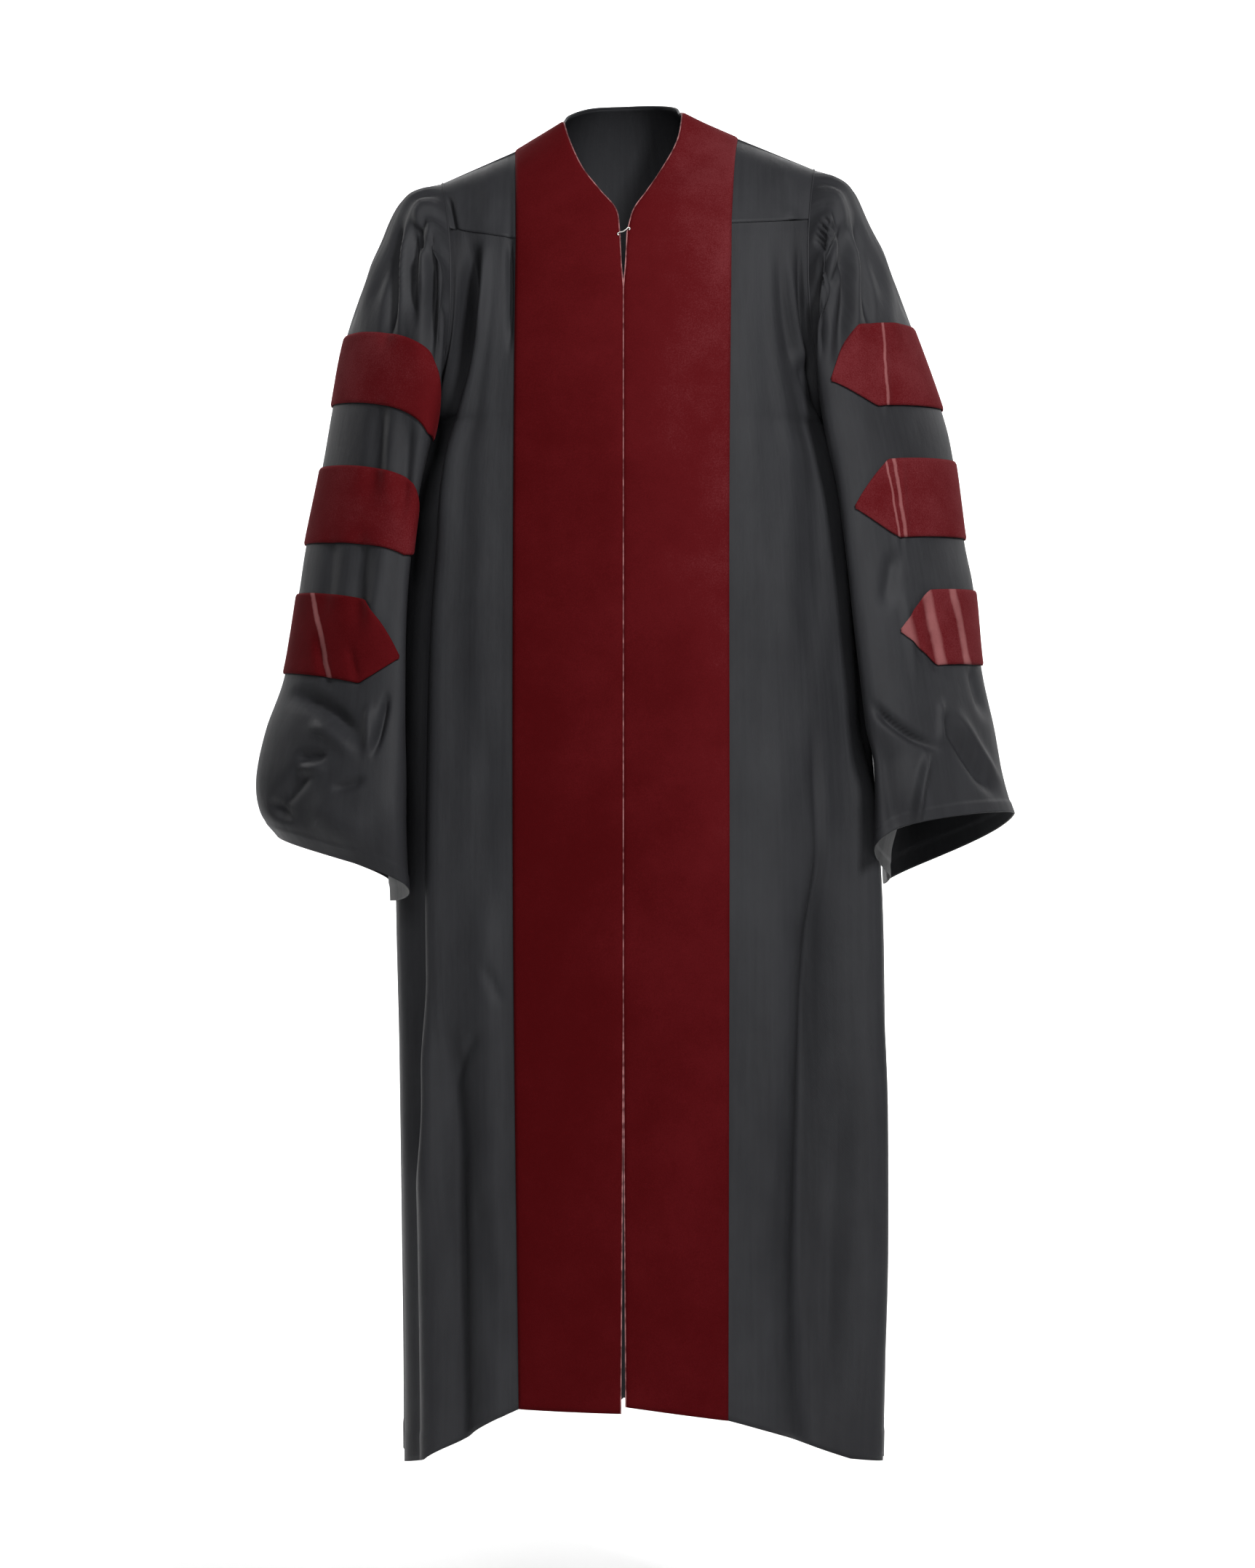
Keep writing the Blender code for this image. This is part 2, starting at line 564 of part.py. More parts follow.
def make_front(side, cloth, velvet):
    """One front: its yoke, its cloth panel and the velvet that lies on both."""
    facing = (0, -1, 0)
    down = armhole_rows(side, YOKE_SEAM[side][-1], HEM[side][-1], ARMHOLE_ROWS, FRONT_LOWER_ROWS)
    panel = front_panel(side, down, front_across(VELVET_COLUMNS, FRONT_CLOTH_COLUMNS))
    yoke = front_yoke(side, YOKE_ROWS, VELVET_COLUMNS, FRONT_CLOTH_COLUMNS)
    band = np.concatenate([yoke[:, : VELVET_COLUMNS + 1], panel[1:, : VELVET_COLUMNS + 1]])
    band = band + outward_normals(band, facing) * VELVET_LIFT

    panel = pull_in(panel, "top", YOKE_GAP / 2)
    panel = pull_in(panel, "last", SEAM_GAP / 2)
    yoke = pull_in(yoke, "bottom", YOKE_GAP / 2)
    yoke = pull_in(yoke, "top", RIDGE_GAP / 2)
    band = pull_in(band, "top", RIDGE_GAP / 2)
    cloth_object(f"front_{side}", panel, facing, CLOTH_WALL, cloth)
    cloth_object(f"front_yoke_{side}", yoke, facing, CLOTH_WALL, cloth)
    cloth_object(f"velvet_front_{side}", band, facing, VELVET_WALL, velvet, outside=True)


def make_back(cloth):
    """The back yoke across the shoulders, and the fluted back gathered into it."""
    facing = (0, 1, 0)
    across = np.linspace(-1, 1, BACK_COLUMNS + 1)
    down = armhole_rows("left", BACK_YOKE_DROP, HEM["left"][-1], ARMHOLE_ROWS, BACK_LOWER_ROWS)
    panel = back_panel(down, across)
    panel = pull_in(panel, "top", YOKE_GAP / 2)
    panel = pull_in(panel, "first", SEAM_GAP / 2)
    panel = pull_in(panel, "last", SEAM_GAP / 2)
    columns = 2 * SHOULDER_COLUMNS + BACK_NECK_COLUMNS
    yoke = back_yoke(YOKE_ROWS, SHOULDER_COLUMNS, BACK_NECK_COLUMNS, np.linspace(-1, 1, columns + 1))
    yoke = pull_in(yoke, "bottom", YOKE_GAP / 2)
    yoke = pull_in(yoke, "top", RIDGE_GAP / 2)
    cloth_object("back", panel, facing, CLOTH_WALL, cloth)
    cloth_object("back_yoke", yoke, facing, CLOTH_WALL, cloth)


def make_sleeve(side, cloth, velvet):
    """One sleeve, gathered into its armhole, and its three velvet bars."""
    facing = (1 if side == "right" else -1, 0, 0)
    angles = sleeve_angles()
    tube = sleeve(side, np.array(SLEEVE_RINGS, float), angles)
    cloth_object(f"sleeve_{side}", tube, facing, CLOTH_WALL, cloth, closed=True)
    for number, row in enumerate(BARS[side], start=1):
        strip = bar(tube, angles, facing, row)
        cloth_object(f"bar_{side}_{number}", strip, facing, VELVET_WALL, velvet, outside=True)


def make_hook(finish):
    """The wire hook at the foot of the neck, over the slit."""
    front_y = -NECK_EDGE["left"][-1][1] + VELVET_LIFT + VELVET_WALL + HOOK_LIFT + HOOK_WIRE
    curve = bpy.data.curves.new("neck_hook", "CURVE")
    curve.dimensions = "3D"
    curve.bevel_depth = HOOK_WIRE * MM
    curve.bevel_resolution = 1
    curve.use_fill_caps = True
    line = curve.splines.new("POLY")
    line.points.add(len(HOOK_PATH) - 1)
    for point, (x, z, back) in zip(line.points, HOOK_PATH):
        point.co = (x * MM, (back - front_y) * MM, z * MM, 1)
    curve.materials.append(finish)
    bpy.data.collections[GOWN].objects.link(bpy.data.objects.new("neck_hook", curve))


for old in list(bpy.data.objects):
    bpy.data.objects.remove(old)
bpy.context.scene.collection.children.link(bpy.data.collections.new(GOWN))
cloth = material("gown_cloth", CLOTH_COLOUR, 0.78)
velvet = material("maroon_velvet", VELVET_COLOUR, 0.85)
wire = material("hook_wire", WIRE_COLOUR, 0.35, 0.9)
make_back(cloth)
for side in ("left", "right"):
    make_front(side, cloth, velvet)
    make_sleeve(side, cloth, velvet)
make_hook(wire)
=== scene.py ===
import math
from collections import namedtuple

import bpy
import numpy as np
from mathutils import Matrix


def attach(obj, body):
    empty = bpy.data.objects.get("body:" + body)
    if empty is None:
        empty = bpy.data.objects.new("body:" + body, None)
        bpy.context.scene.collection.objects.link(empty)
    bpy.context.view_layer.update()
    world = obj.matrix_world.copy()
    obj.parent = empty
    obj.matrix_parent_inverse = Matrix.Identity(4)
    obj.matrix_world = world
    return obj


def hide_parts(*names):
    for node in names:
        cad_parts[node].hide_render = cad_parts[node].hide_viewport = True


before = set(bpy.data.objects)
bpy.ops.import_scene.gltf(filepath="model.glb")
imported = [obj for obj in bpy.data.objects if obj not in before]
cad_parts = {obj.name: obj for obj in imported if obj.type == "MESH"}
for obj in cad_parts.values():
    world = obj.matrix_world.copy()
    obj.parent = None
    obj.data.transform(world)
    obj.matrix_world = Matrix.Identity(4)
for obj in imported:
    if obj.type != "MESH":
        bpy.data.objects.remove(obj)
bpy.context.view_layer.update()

# The studio: a pale floor that curves up into a wall, under soft lights. The gown hangs in its worn
# form at the height that its wearer's shoulders give it, and is seen from straight in front.
CAMERA_PLACE = (0.0038, -3.6, -0.6254)
SEEN_HEIGHT = 1.4769
SENSOR_HEIGHT = 36
FLOOR_Z = -1.47
WALL_Y = 3.4
CURVE_RADIUS = 1.4
STUDIO_HALF_WIDTH = 3.2
STUDIO_FRONT_Y = -1.6
WALL_TOP_Z = 2.6
STUDIO_COLOUR = (0.88, 0.88, 0.88, 1)
WORLD_STRENGTH = 0.06
GOWN_CHEST = (0, 0, -0.2)
WALL_MIDDLE = (0, 3.4, -0.4)
FLOOR_BEHIND = (0, 2.4, -1.47)
LIGHTS = (
    ("key_light", (1.25, -2.55, 1.4), GOWN_CHEST, 0.5, 80),
    ("fill_light", (-0.4, -3.4, 0.9), GOWN_CHEST, 0.9, 40),
    ("wall_light_left", (-2.0, 1.4, 0.8), WALL_MIDDLE, 1.4, 62),
    ("wall_light_right", (2.0, 1.4, 0.8), WALL_MIDDLE, 1.4, 62),
    ("floor_light", (0, 2.4, 1.05), FLOOR_BEHIND, 2.0, 40),
)

camera_data = bpy.data.cameras.new("camera")
camera_data.sensor_fit = "VERTICAL"
camera_data.sensor_height = SENSOR_HEIGHT
camera_data.lens = SENSOR_HEIGHT * -CAMERA_PLACE[1] / SEEN_HEIGHT
camera = bpy.data.objects.new("camera", camera_data)
camera.location = CAMERA_PLACE
camera.rotation_euler = (math.pi / 2, 0, 0)
bpy.context.collection.objects.link(camera)
bpy.context.scene.camera = camera
bpy.context.scene.view_settings.view_transform = "Standard"

curve = np.linspace(0, math.pi / 2, 13)
profile = [(STUDIO_FRONT_Y, FLOOR_Z)]
for angle in curve:
    y = WALL_Y - CURVE_RADIUS + CURVE_RADIUS * math.sin(angle)
    profile.append((y, FLOOR_Z + CURVE_RADIUS * (1 - math.cos(angle))))
profile.append((WALL_Y, WALL_TOP_Z))
points = [(x, y, z) for y, z in profile for x in (-STUDIO_HALF_WIDTH, STUDIO_HALF_WIDTH)]
faces = [(2 * n, 2 * n + 1, 2 * n + 3, 2 * n + 2) for n in range(len(profile) - 1)]
floor_mesh = bpy.data.meshes.new("floor")
floor_mesh.from_pydata(points, [], faces)
floor_mesh.shade_smooth()
floor = bpy.data.objects.new("floor", floor_mesh)
bpy.context.collection.objects.link(floor)
paint = bpy.data.materials.new("studio_paint")
paint.use_nodes = True
paint.node_tree.nodes["Principled BSDF"].inputs["Base Color"].default_value = STUDIO_COLOUR
paint.node_tree.nodes["Principled BSDF"].inputs["Roughness"].default_value = 0.9
floor_mesh.materials.append(paint)

world = bpy.data.worlds.new("studio")
world.use_nodes = True
world.node_tree.nodes["Background"].inputs["Color"].default_value = (1, 1, 1, 1)
world.node_tree.nodes["Background"].inputs["Strength"].default_value = WORLD_STRENGTH
bpy.context.scene.world = world

for name, place, aim, size, power in LIGHTS:
    light = bpy.data.lights.new(name, "AREA")
    light.size = size
    light.energy = power
    lamp = bpy.data.objects.new(name, light)
    lamp.location = place
    away = np.array(place) - np.array(aim)
    tilt = math.acos(away[2] / np.linalg.norm(away))
    lamp.rotation_euler = (tilt, 0, math.atan2(away[1], away[0]) + math.pi / 2)
    bpy.context.collection.objects.link(lamp)

# The back of the gown: one wide panel of charcoal plain-weave cloth, gathered into the back yoke and
# falling in flutes to a hem that is turned up and stitched. Its sides meet the fronts at the side seams.
# Sizes are in millimetres, and heights are drops below the foot of the neck.
MM = 0.001
CLOTH_WALL = 1.1
SIDE_SEAM_Y = 4
FRONT_ROUNDNESS = 2.6
BACK_ROUNDNESS = 2.3
BODY_TURN = math.radians(90) - 1e-6
CHEST_TURN = math.radians(64)
CHEST_TURN_DROPS = (130, 290)
EDGE_PULL = 4
BODY_COLUMNS = "drop left right front back"
BODY = (
    (60, 160, 172, 92, 86),
    (100, 160, 172, 98, 99),
    (150, 160, 174, 109, 111),
    (200, 165, 180, 117, 118),
    (290, 176, 190, 125, 122),
    (320, 188, 201, 126, 122),
    (350, 195, 208, 127, 123),
    (420, 204, 217, 129, 124),
    (510, 211, 226, 131, 127),
    (600, 213, 234, 134, 130),
    (720, 214, 243, 137, 135),
    (860, 211, 246, 140, 140),
    (1000, 208, 248, 144, 146),
    (1130, 206, 247, 148, 152),
    (1262, 205, 244, 152, 158),
)
Armhole = namedtuple("Armhole", "top_x top_drop bottom_x bottom_drop depth inset")
ARMHOLE = {
    "left": Armhole(-170, 60, -176, 290, 84, 14),
    "right": Armhole(179, 47, 190, 290, 84, 14),
}
SHOULDER = {
    "left": ((-56, 0, -3), (-101, 2, -30), (-170, SIDE_SEAM_Y, -60)),
    "right": ((53, 0, 5), (107, 2, -18), (179, SIDE_SEAM_Y, -47)),
}
BACK_NECK = ((-56, 0, -3), (-51, 26, 8), (-32, 48, 18), (0, 60, 22), (30, 50, 21), (49, 26, 15), (53, 0, 5))
HEM = {"left": (1194, 1191, 1244, 1262), "right": (1188, 1201, 1243, 1257)}
HEM_DEPTH = 24
HEM_SWELL = 0.7
BACK_YOKE_DROP = 158
BACK_HEM_RISE = 26
BACK_GATHERS = 14
GATHER_HEIGHT = 3.2
GATHER_START = 30
GATHER_LOSS = 0.75
BACK_FLUTES = 7
FLUTE_HEIGHT = 11
FLUTE_DROPS = (250, 1100)
FLUTE_WANDER = 0.6
BACK_FOLD_OUT = (1, 0.8)
BACK_COLUMNS = 190
BACK_ROWS = 190
YOKE_UNDERLAP = 0.07
UNDERLAP_DEPTH = 1.2
UNDERLAP_FADE = 14
SEAM_ROWS = np.array([0, 0.01])

Crease = namedtuple("Crease", "x drop end_x end_drop bow width height spread", defaults=[1])
BACK_CREASES = (
    Crease(-150, 150, -120, 330, 6, 9, -4),
    Crease(-96, 140, -84, 300, 0, 6, -3),
    Crease(-40, 140, -46, 360, 4, 7, -3),
    Crease(12, 140, 16, 250, 0, 6, -2.5),
    Crease(66, 140, 74, 340, -4, 7, -3),
    Crease(120, 140, 104, 300, 0, 7, -3.5),
    Crease(158, 150, 132, 380, -8, 10, -4),
    Crease(-170, 420, -90, 520, 14, 16, -3),
    Crease(176, 450, 96, 560, -14, 16, -3),
    Crease(-60, 500, -72, 900, 6, 14, 4),
    Crease(40, 560, 52, 980, -8, 14, 4),
    Crease(120, 700, 150, 1180, 6, 13, -5),
    Crease(-130, 760, -160, 1200, -6, 13, -5),
)


def named(columns, rows):
    """A table's columns by name."""
    return dict(zip(columns.split(), np.array(rows, float).T))


def smooth_between(keys, values, at):
    """The value of a smooth curve through the rows of a table."""
    slopes = np.gradient(values, keys)
    at = np.clip(at, keys[0], keys[-1])
    row = np.clip(np.searchsorted(keys, at, side="right") - 1, 0, len(keys) - 2)
    width = keys[row + 1] - keys[row]
    f = (at - keys[row]) / width
    start = values[row] * (1 + 2 * f) * (1 - f) ** 2 + slopes[row] * width * f * (1 - f) ** 2
    stop = values[row + 1] * (3 - 2 * f) * f**2 - slopes[row + 1] * width * f**2 * (1 - f)
    return start + stop


def smooth_step(low, high, at):
    f = np.clip((at - low) / (high - low), 0, 1)
    return f * f * (3 - 2 * f)


def along(points, at):
    """Points on a smooth curve through the given ones, at shares of its length."""
    points = np.array(points, float)
    steps = np.linalg.norm(np.diff(points, axis=0), axis=1)
    keys = np.concatenate([[0], np.cumsum(steps)]) / steps.sum()
    return np.stack([smooth_between(keys, points[:, k], at) for k in range(3)], axis=-1)


def straight(start, stop, count):
    return np.linspace(np.array(start, float), np.array(stop, float), count)


def armhole(side, angle):
    """Points of the armhole: the angle is 0 at the shoulder, 90 degrees in front and 180 under the arm."""
    hole = ARMHOLE[side]
    down = (1 - np.cos(angle)) / 2
    inward = -np.sign(hole.top_x) * hole.inset * np.sin(angle) ** 2
    x = hole.top_x + (hole.bottom_x - hole.top_x) * down + inward
    y = SIDE_SEAM_Y - hole.depth * np.sin(angle)
    z = -(hole.top_drop + (hole.bottom_drop - hole.top_drop) * down)
    return np.stack([x, y, z], axis=-1)


def armhole_angle(side, drop):
    """The angle, from 0 to 180 degrees, at which the armhole is this far down."""
    hole = ARMHOLE[side]
    share = (drop - hole.top_drop) / (hole.bottom_drop - hole.top_drop)
    return np.arccos(np.clip(1 - 2 * share, -1, 1))


def side_edge(side, drop, facing):
    """Where a panel ends at this drop: the armhole, or the side seam under it. Facing is 1 in front."""
    body = named(BODY_COLUMNS, BODY)
    sign = 1 if side == "right" else -1
    edge = armhole(side, facing * armhole_angle(side, drop))
    under = drop >= ARMHOLE[side].bottom_drop
    x = np.where(under, sign * smooth_between(body["drop"], body[side], drop), edge[..., 0])
    y = np.where(under, SIDE_SEAM_Y, edge[..., 1])
    return x, y


def end_turn(drop):
    """How far round a panel turns: to its full width under the arm, and less beside the armhole."""
    return CHEST_TURN + (BODY_TURN - CHEST_TURN) * smooth_step(*CHEST_TURN_DROPS, drop)


def body_point(side, drop, turn, depth_name):
    """Points of the body, where turn is 0 at the middle and 1 at the side edge."""
    front = depth_name == "front"
    body = named(BODY_COLUMNS, BODY)
    middle_y = smooth_between(body["drop"], body[depth_name], drop) * (-1 if front else 1)
    power = 2 / (FRONT_ROUNDNESS if front else BACK_ROUNDNESS)
    end_x, end_y = side_edge(side, drop, 1 if front else -1)
    last = end_turn(drop)
    angle = turn * last
    x = end_x * (np.sin(angle) / np.sin(last)) ** power
    y = SIDE_SEAM_Y + (middle_y - SIDE_SEAM_Y) * np.cos(angle) ** power
    plain_end_y = SIDE_SEAM_Y + (middle_y - SIDE_SEAM_Y) * np.cos(last) ** power
    y = y + (end_y - plain_end_y) * turn**EDGE_PULL
    return np.stack([x, y, -drop], axis=-1)


def outward_normals(grid, outward):
    """Unit normals of a grid of points, turned to the side of the given direction at its middle."""
    normals = np.cross(np.gradient(grid, axis=0), np.gradient(grid, axis=1))
    normals /= np.maximum(np.linalg.norm(normals, axis=-1, keepdims=True), 1e-9)
    middle = normals[grid.shape[0] // 2, grid.shape[1] // 2]
    return normals * np.sign(middle @ np.array(outward, float))


def crease_heights(creases, grid):
    """Soft troughs and ridges along bowed lines in front view, which die out towards both ends."""
    x, drop = grid[..., 0], -grid[..., 2]
    height = np.zeros(x.shape)
    for line in creases:
        length = math.hypot(line.end_x - line.x, line.end_drop - line.drop)
        run_x, run_drop = (line.end_x - line.x) / length, (line.end_drop - line.drop) / length
        share = ((x - line.x) * run_x + (drop - line.drop) * run_drop) / length
        aside = (drop - line.drop) * run_x - (x - line.x) * run_drop
        aside = aside - line.bow * 4 * share * (1 - share)
        ends = smooth_step(0, 0.3, share) * smooth_step(1, 0.6, share)
        width = line.width * (1 + (line.spread - 1) * np.clip(share, 0, 1))
        height += line.height * ends * np.exp(-((aside / width) ** 2))
    return height


def patch(top, bottom, first, last):
    """A surface between four edges: top and bottom run across, first and last run down."""
    down = np.linspace(0, 1, len(first))[:, None, None]
    across = np.linspace(0, 1, len(top))[None, :, None]
    between_ends = (1 - down) * top[None] + down * bottom[None]
    between_sides = (1 - across) * first[:, None] + across * last[:, None]
    corners = (1 - down) * ((1 - across) * top[0] + across * top[-1])
    corners = corners + down * ((1 - across) * bottom[0] + across * bottom[-1])
    return between_ends + between_sides - corners


def back_panel(down, across):
    """Points of the back from its yoke seam (down 0) to its hem (1); across is -1 left, 1 right."""
    down, across = np.meshgrid(down, across, indexing="ij")
    middle = np.cos(across * math.pi / 2)
    corners = np.where(across < 0, HEM["left"][-1], HEM["right"][-1])
    hem = corners - BACK_HEM_RISE * smooth_step(0, 1, middle)
    drop = BACK_YOKE_DROP + (hem - BACK_YOKE_DROP) * down
    grid = np.where(
        (across < 0)[..., None],
        body_point("left", drop, np.abs(across), "back"),
        body_point("right", drop, np.abs(across), "back"),
    )
    seam = smooth_step(0, GATHER_START, drop - BACK_YOKE_DROP)
    lower = smooth_step(*FLUTE_DROPS, drop)
    wander = FLUTE_WANDER * np.sin(math.pi * across)
    gathers = GATHER_HEIGHT * np.cos(across * math.pi * BACK_GATHERS) * seam * (1 - GATHER_LOSS * lower)
    flutes = FLUTE_HEIGHT * np.cos(across * math.pi * BACK_FLUTES + wander) * lower
    height = (gathers + flutes) * smooth_step(*BACK_FOLD_OUT, np.abs(across))
    height += crease_heights(BACK_CREASES, grid) * smooth_step(1, 0.9, np.abs(across))
    height += HEM_SWELL * smooth_step(hem - HEM_DEPTH - 2, hem - HEM_DEPTH, drop)
    return grid + outward_normals(grid, (0, 1, 0)) * height[..., None]


def back_yoke(rows, shoulder_columns, neck_columns, across):
    """Points of the back yoke, from one shoulder to the other under the back of the neck."""
    left_neck, left_velvet, left_tip = SHOULDER["left"]
    right_neck, right_velvet, right_tip = SHOULDER["right"]
    half = shoulder_columns // 2
    top = np.concatenate(
        [
            straight(left_tip, left_velvet, half + 1),
            straight(left_velvet, left_neck, half + 1)[1:],
            along(BACK_NECK, np.linspace(0, 1, neck_columns + 1))[1:-1],
            straight(right_neck, right_velvet, half + 1),
            straight(right_velvet, right_tip, half + 1)[1:],
        ]
    )
    bottom = back_panel(SEAM_ROWS, across)[0]
    edges = [
        armhole(side, -np.linspace(0, armhole_angle(side, BACK_YOKE_DROP), rows + 1))
        for side in ("left", "right")
    ]
    return patch(top, bottom, *edges)


def tucked_under(yoke, panel, outward):
    """A panel whose top edge goes on a little way under its yoke, so that the yoke's edge lies over it."""
    rows = max(2, round(YOKE_UNDERLAP * len(yoke)))
    whole = np.concatenate([yoke[-1 - rows : -1], panel])
    start = panel[:1, :, 2]
    below = smooth_step(0, UNDERLAP_FADE, start - whole[..., 2])
    return whole - outward_normals(whole, outward) * (UNDERLAP_DEPTH * (1 - below))[..., None]


def cloth(name, grid, outward, wall, finish, nodes, closed=False, outside=False):
    """A thin shell of cloth on a grid of points. Its map of the cut is in metres, for the weave."""
    rows, columns = grid.shape[:2]
    steps = columns if closed else columns - 1
    row, column = np.meshgrid(np.arange(rows - 1), np.arange(steps), indexing="ij")
    after = (column + 1) % columns
    corners = [(row, column), (row, after), (row + 1, after), (row + 1, column)]
    unwrapped = [(row, column), (row, column + 1), (row + 1, column + 1), (row + 1, column)]
    middle = rows // 2
    outer = np.clip(np.argmax(grid[middle] @ np.array(outward, float)), 1, columns - 2)
    across = grid[middle, outer + 1] - grid[middle, outer]
    down = grid[middle, outer] - grid[middle - 1, outer]
    if np.cross(down, across) @ np.array(outward, float) > 0:
        corners, unwrapped = corners[::-1], unwrapped[::-1]
    faces = np.stack([r * columns + c for r, c in corners], axis=-1).reshape(-1, 4)
    mesh = bpy.data.meshes.new(name)
    mesh.from_pydata(grid.reshape(-1, 3) * MM, [], faces.tolist())
    looped = np.concatenate([grid, grid[:, :1]], axis=1)
    width = np.linalg.norm(np.diff(looped[middle], axis=0), axis=-1)
    height = np.linalg.norm(np.diff(grid[:, columns // 2], axis=0), axis=-1)
    u = np.concatenate([[0], np.cumsum(width)]) * MM
    v = -np.concatenate([[0], np.cumsum(height)]) * MM
    cut = np.stack([np.stack([u[c], v[r]], axis=-1) for r, c in unwrapped], axis=2)
    mesh.uv_layers.new(name="cut").data.foreach_set("uv", cut.ravel())
    mesh.shade_smooth()
    mesh.materials.append(finish)
    made = bpy.data.objects.new(name, mesh)
    bpy.context.collection.objects.link(made)
    thicken = made.modifiers.new("wall", "SOLIDIFY")
    thicken.thickness = wall * MM
    thicken.offset = 1 if outside else -1
    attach(made, "root")
    if nodes:
        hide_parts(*nodes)
    return made


class Value:
    """A value in a material: sums and products of such values add their own Math nodes."""

    def __init__(self, look, socket):
        self.look = look
        self.socket = socket

    def maths(self, operation, *values):
        return self.look.add("ShaderNodeMath", {"operation": operation}, *values)

    def __add__(self, other):
        return self.maths("ADD", self, other)

    def __sub__(self, other):
        return self.maths("SUBTRACT", self, other)

    def __rsub__(self, other):
        return self.maths("SUBTRACT", other, self)

    def __mul__(self, other):
        return self.maths("MULTIPLY", self, other)

    def __truediv__(self, other):
        return self.maths("DIVIDE", self, other)

    def __pow__(self, other):
        return self.maths("POWER", self, other)

    def __neg__(self):
        return self.maths("MULTIPLY", self, -1)

    __radd__ = __add__
    __rmul__ = __mul__

    def sine(self):
        return self.maths("SINE", self)

    def clipped(self, low, high):
        """0 below low, 1 above high, and a smooth rise between them."""
        settings = {"interpolation_type": "SMOOTHSTEP"}
        return self.look.add("ShaderNodeMapRange", settings, self, low, high, 0, 1)


def socket_name(word):
    return word.replace("_", " ").title().replace("Ior", "IOR")


class Look:
    """A material: its shader, and one way to add any other node."""

    def __init__(self, name, **constants):
        self.made = bpy.data.materials.new(name)
        self.made.use_nodes = True
        self.tree = self.made.node_tree
        self.shader = self.tree.nodes["Principled BSDF"]
        for socket, value in constants.items():
            self.shader.inputs[socket_name(socket)].default_value = value

    def fill(self, socket, value):
        if isinstance(value, Value):
            self.tree.links.new(value.socket, socket)
        elif value is not None:
            socket.default_value = value

    def add(self, kind, settings, *values, output=0, **named_values):
        node = self.tree.nodes.new(kind)
        for setting, value in settings.items():
            setattr(node, setting, value)
        for socket, value in zip(node.inputs, values):
            self.fill(socket, value)
        for name, value in named_values.items():
            self.fill(node.inputs[socket_name(name)], value)
        return Value(self, node.outputs[output])

    def cut(self):
        """Places on the cut cloth in metres, across and down."""
        places = self.add("ShaderNodeUVMap", {"uv_map": "cut"})
        split = self.add("ShaderNodeSeparateXYZ", {}, places)
        return places, split, Value(self, split.socket.node.outputs[1])

    def place(self):
        """Places on the gown in metres: x, y and z."""
        places = self.add("ShaderNodeTexCoord", {}, output=3)
        split = self.add("ShaderNodeSeparateXYZ", {}, places)
        return places, split, Value(self, split.socket.node.outputs[2])

    def stretched(self, places, across, down):
        return self.add("ShaderNodeMapping", {}, Vector=places, Scale=(across, down, across))

    def noise(self, places, scale, detail, roughness=0.5):
        return self.add(
            "ShaderNodeTexNoise", {}, Vector=places, Scale=scale, Detail=detail, Roughness=roughness
        )

    def mix(self, factor, first, second):
        node = self.tree.nodes.new("ShaderNodeMix")
        node.data_type = "RGBA"
        self.fill(node.inputs["Factor"], factor)
        for socket, value in zip([s for s in node.inputs if s.type == "RGBA"], (first, second)):
            self.fill(socket, value)
        return Value(self, [s for s in node.outputs if s.type == "RGBA"][0])

    def show(self, name, value):
        self.tree.links.new(value.socket, self.shader.inputs[name])

    def bump(self, height, distance):
        normal = self.add("ShaderNodeBump", {}, Strength=1, Distance=distance, Height=height)
        self.show("Normal", normal)


THREAD = 0.0009
CLOTH_DARK = (0.022, 0.0222, 0.0250, 1)
CLOTH_LIGHT = (0.035, 0.0358, 0.0395, 1)


def gown_cloth():
    """Charcoal plain weave: fine crossing threads, faint streaks along the warp and small soft crinkles."""
    look = Look("gown_cloth", roughness=0.55, specular_ior_level=0.17)
    places, across, down = look.cut()
    warp = (across * (2 * math.pi / THREAD)).sine()
    weft = (down * (2 * math.pi / THREAD)).sine()
    streaks = look.noise(look.stretched(places, 260, 7), 1, 2)
    patches = look.noise(look.stretched(places, 9, 4), 1, 3)
    crinkles = look.noise(look.stretched(places, 46, 17), 1, 4, 0.55)
    shade = streaks * 0.2 + patches * 0.55 + crinkles * 0.25
    look.show("Base Color", look.mix(shade.clipped(0.3, 0.7), CLOTH_DARK, CLOTH_LIGHT))
    look.show("Roughness", 0.47 + 0.16 * streaks)
    look.bump(crinkles * 0.9 + streaks * 0.08 + warp * weft * 0.035, 0.001)
    return look.made


charcoal = gown_cloth()
across = np.linspace(-1, 1, BACK_COLUMNS + 1)
yoke_half = 40
neck_columns = BACK_COLUMNS - 2 * yoke_half
back_yoke_grid = back_yoke(36, yoke_half, neck_columns, across)
back_grid = tucked_under(back_yoke_grid, back_panel(np.linspace(0, 1, BACK_ROWS), across), (0, 1, 0))
back = cloth("gown_back", back_grid, (0, 1, 0), CLOTH_WALL, charcoal, ["back"])

# The back yoke: one plain piece across the shoulders, cut double, whose lower edge covers the gathers.
# Its upper edge is the back of the neck, bound with a narrow strip of the same cloth.
yoke_back = cloth("gown_back_yoke", back_yoke_grid, (0, 1, 0), CLOTH_WALL, charcoal, ["back_yoke"])

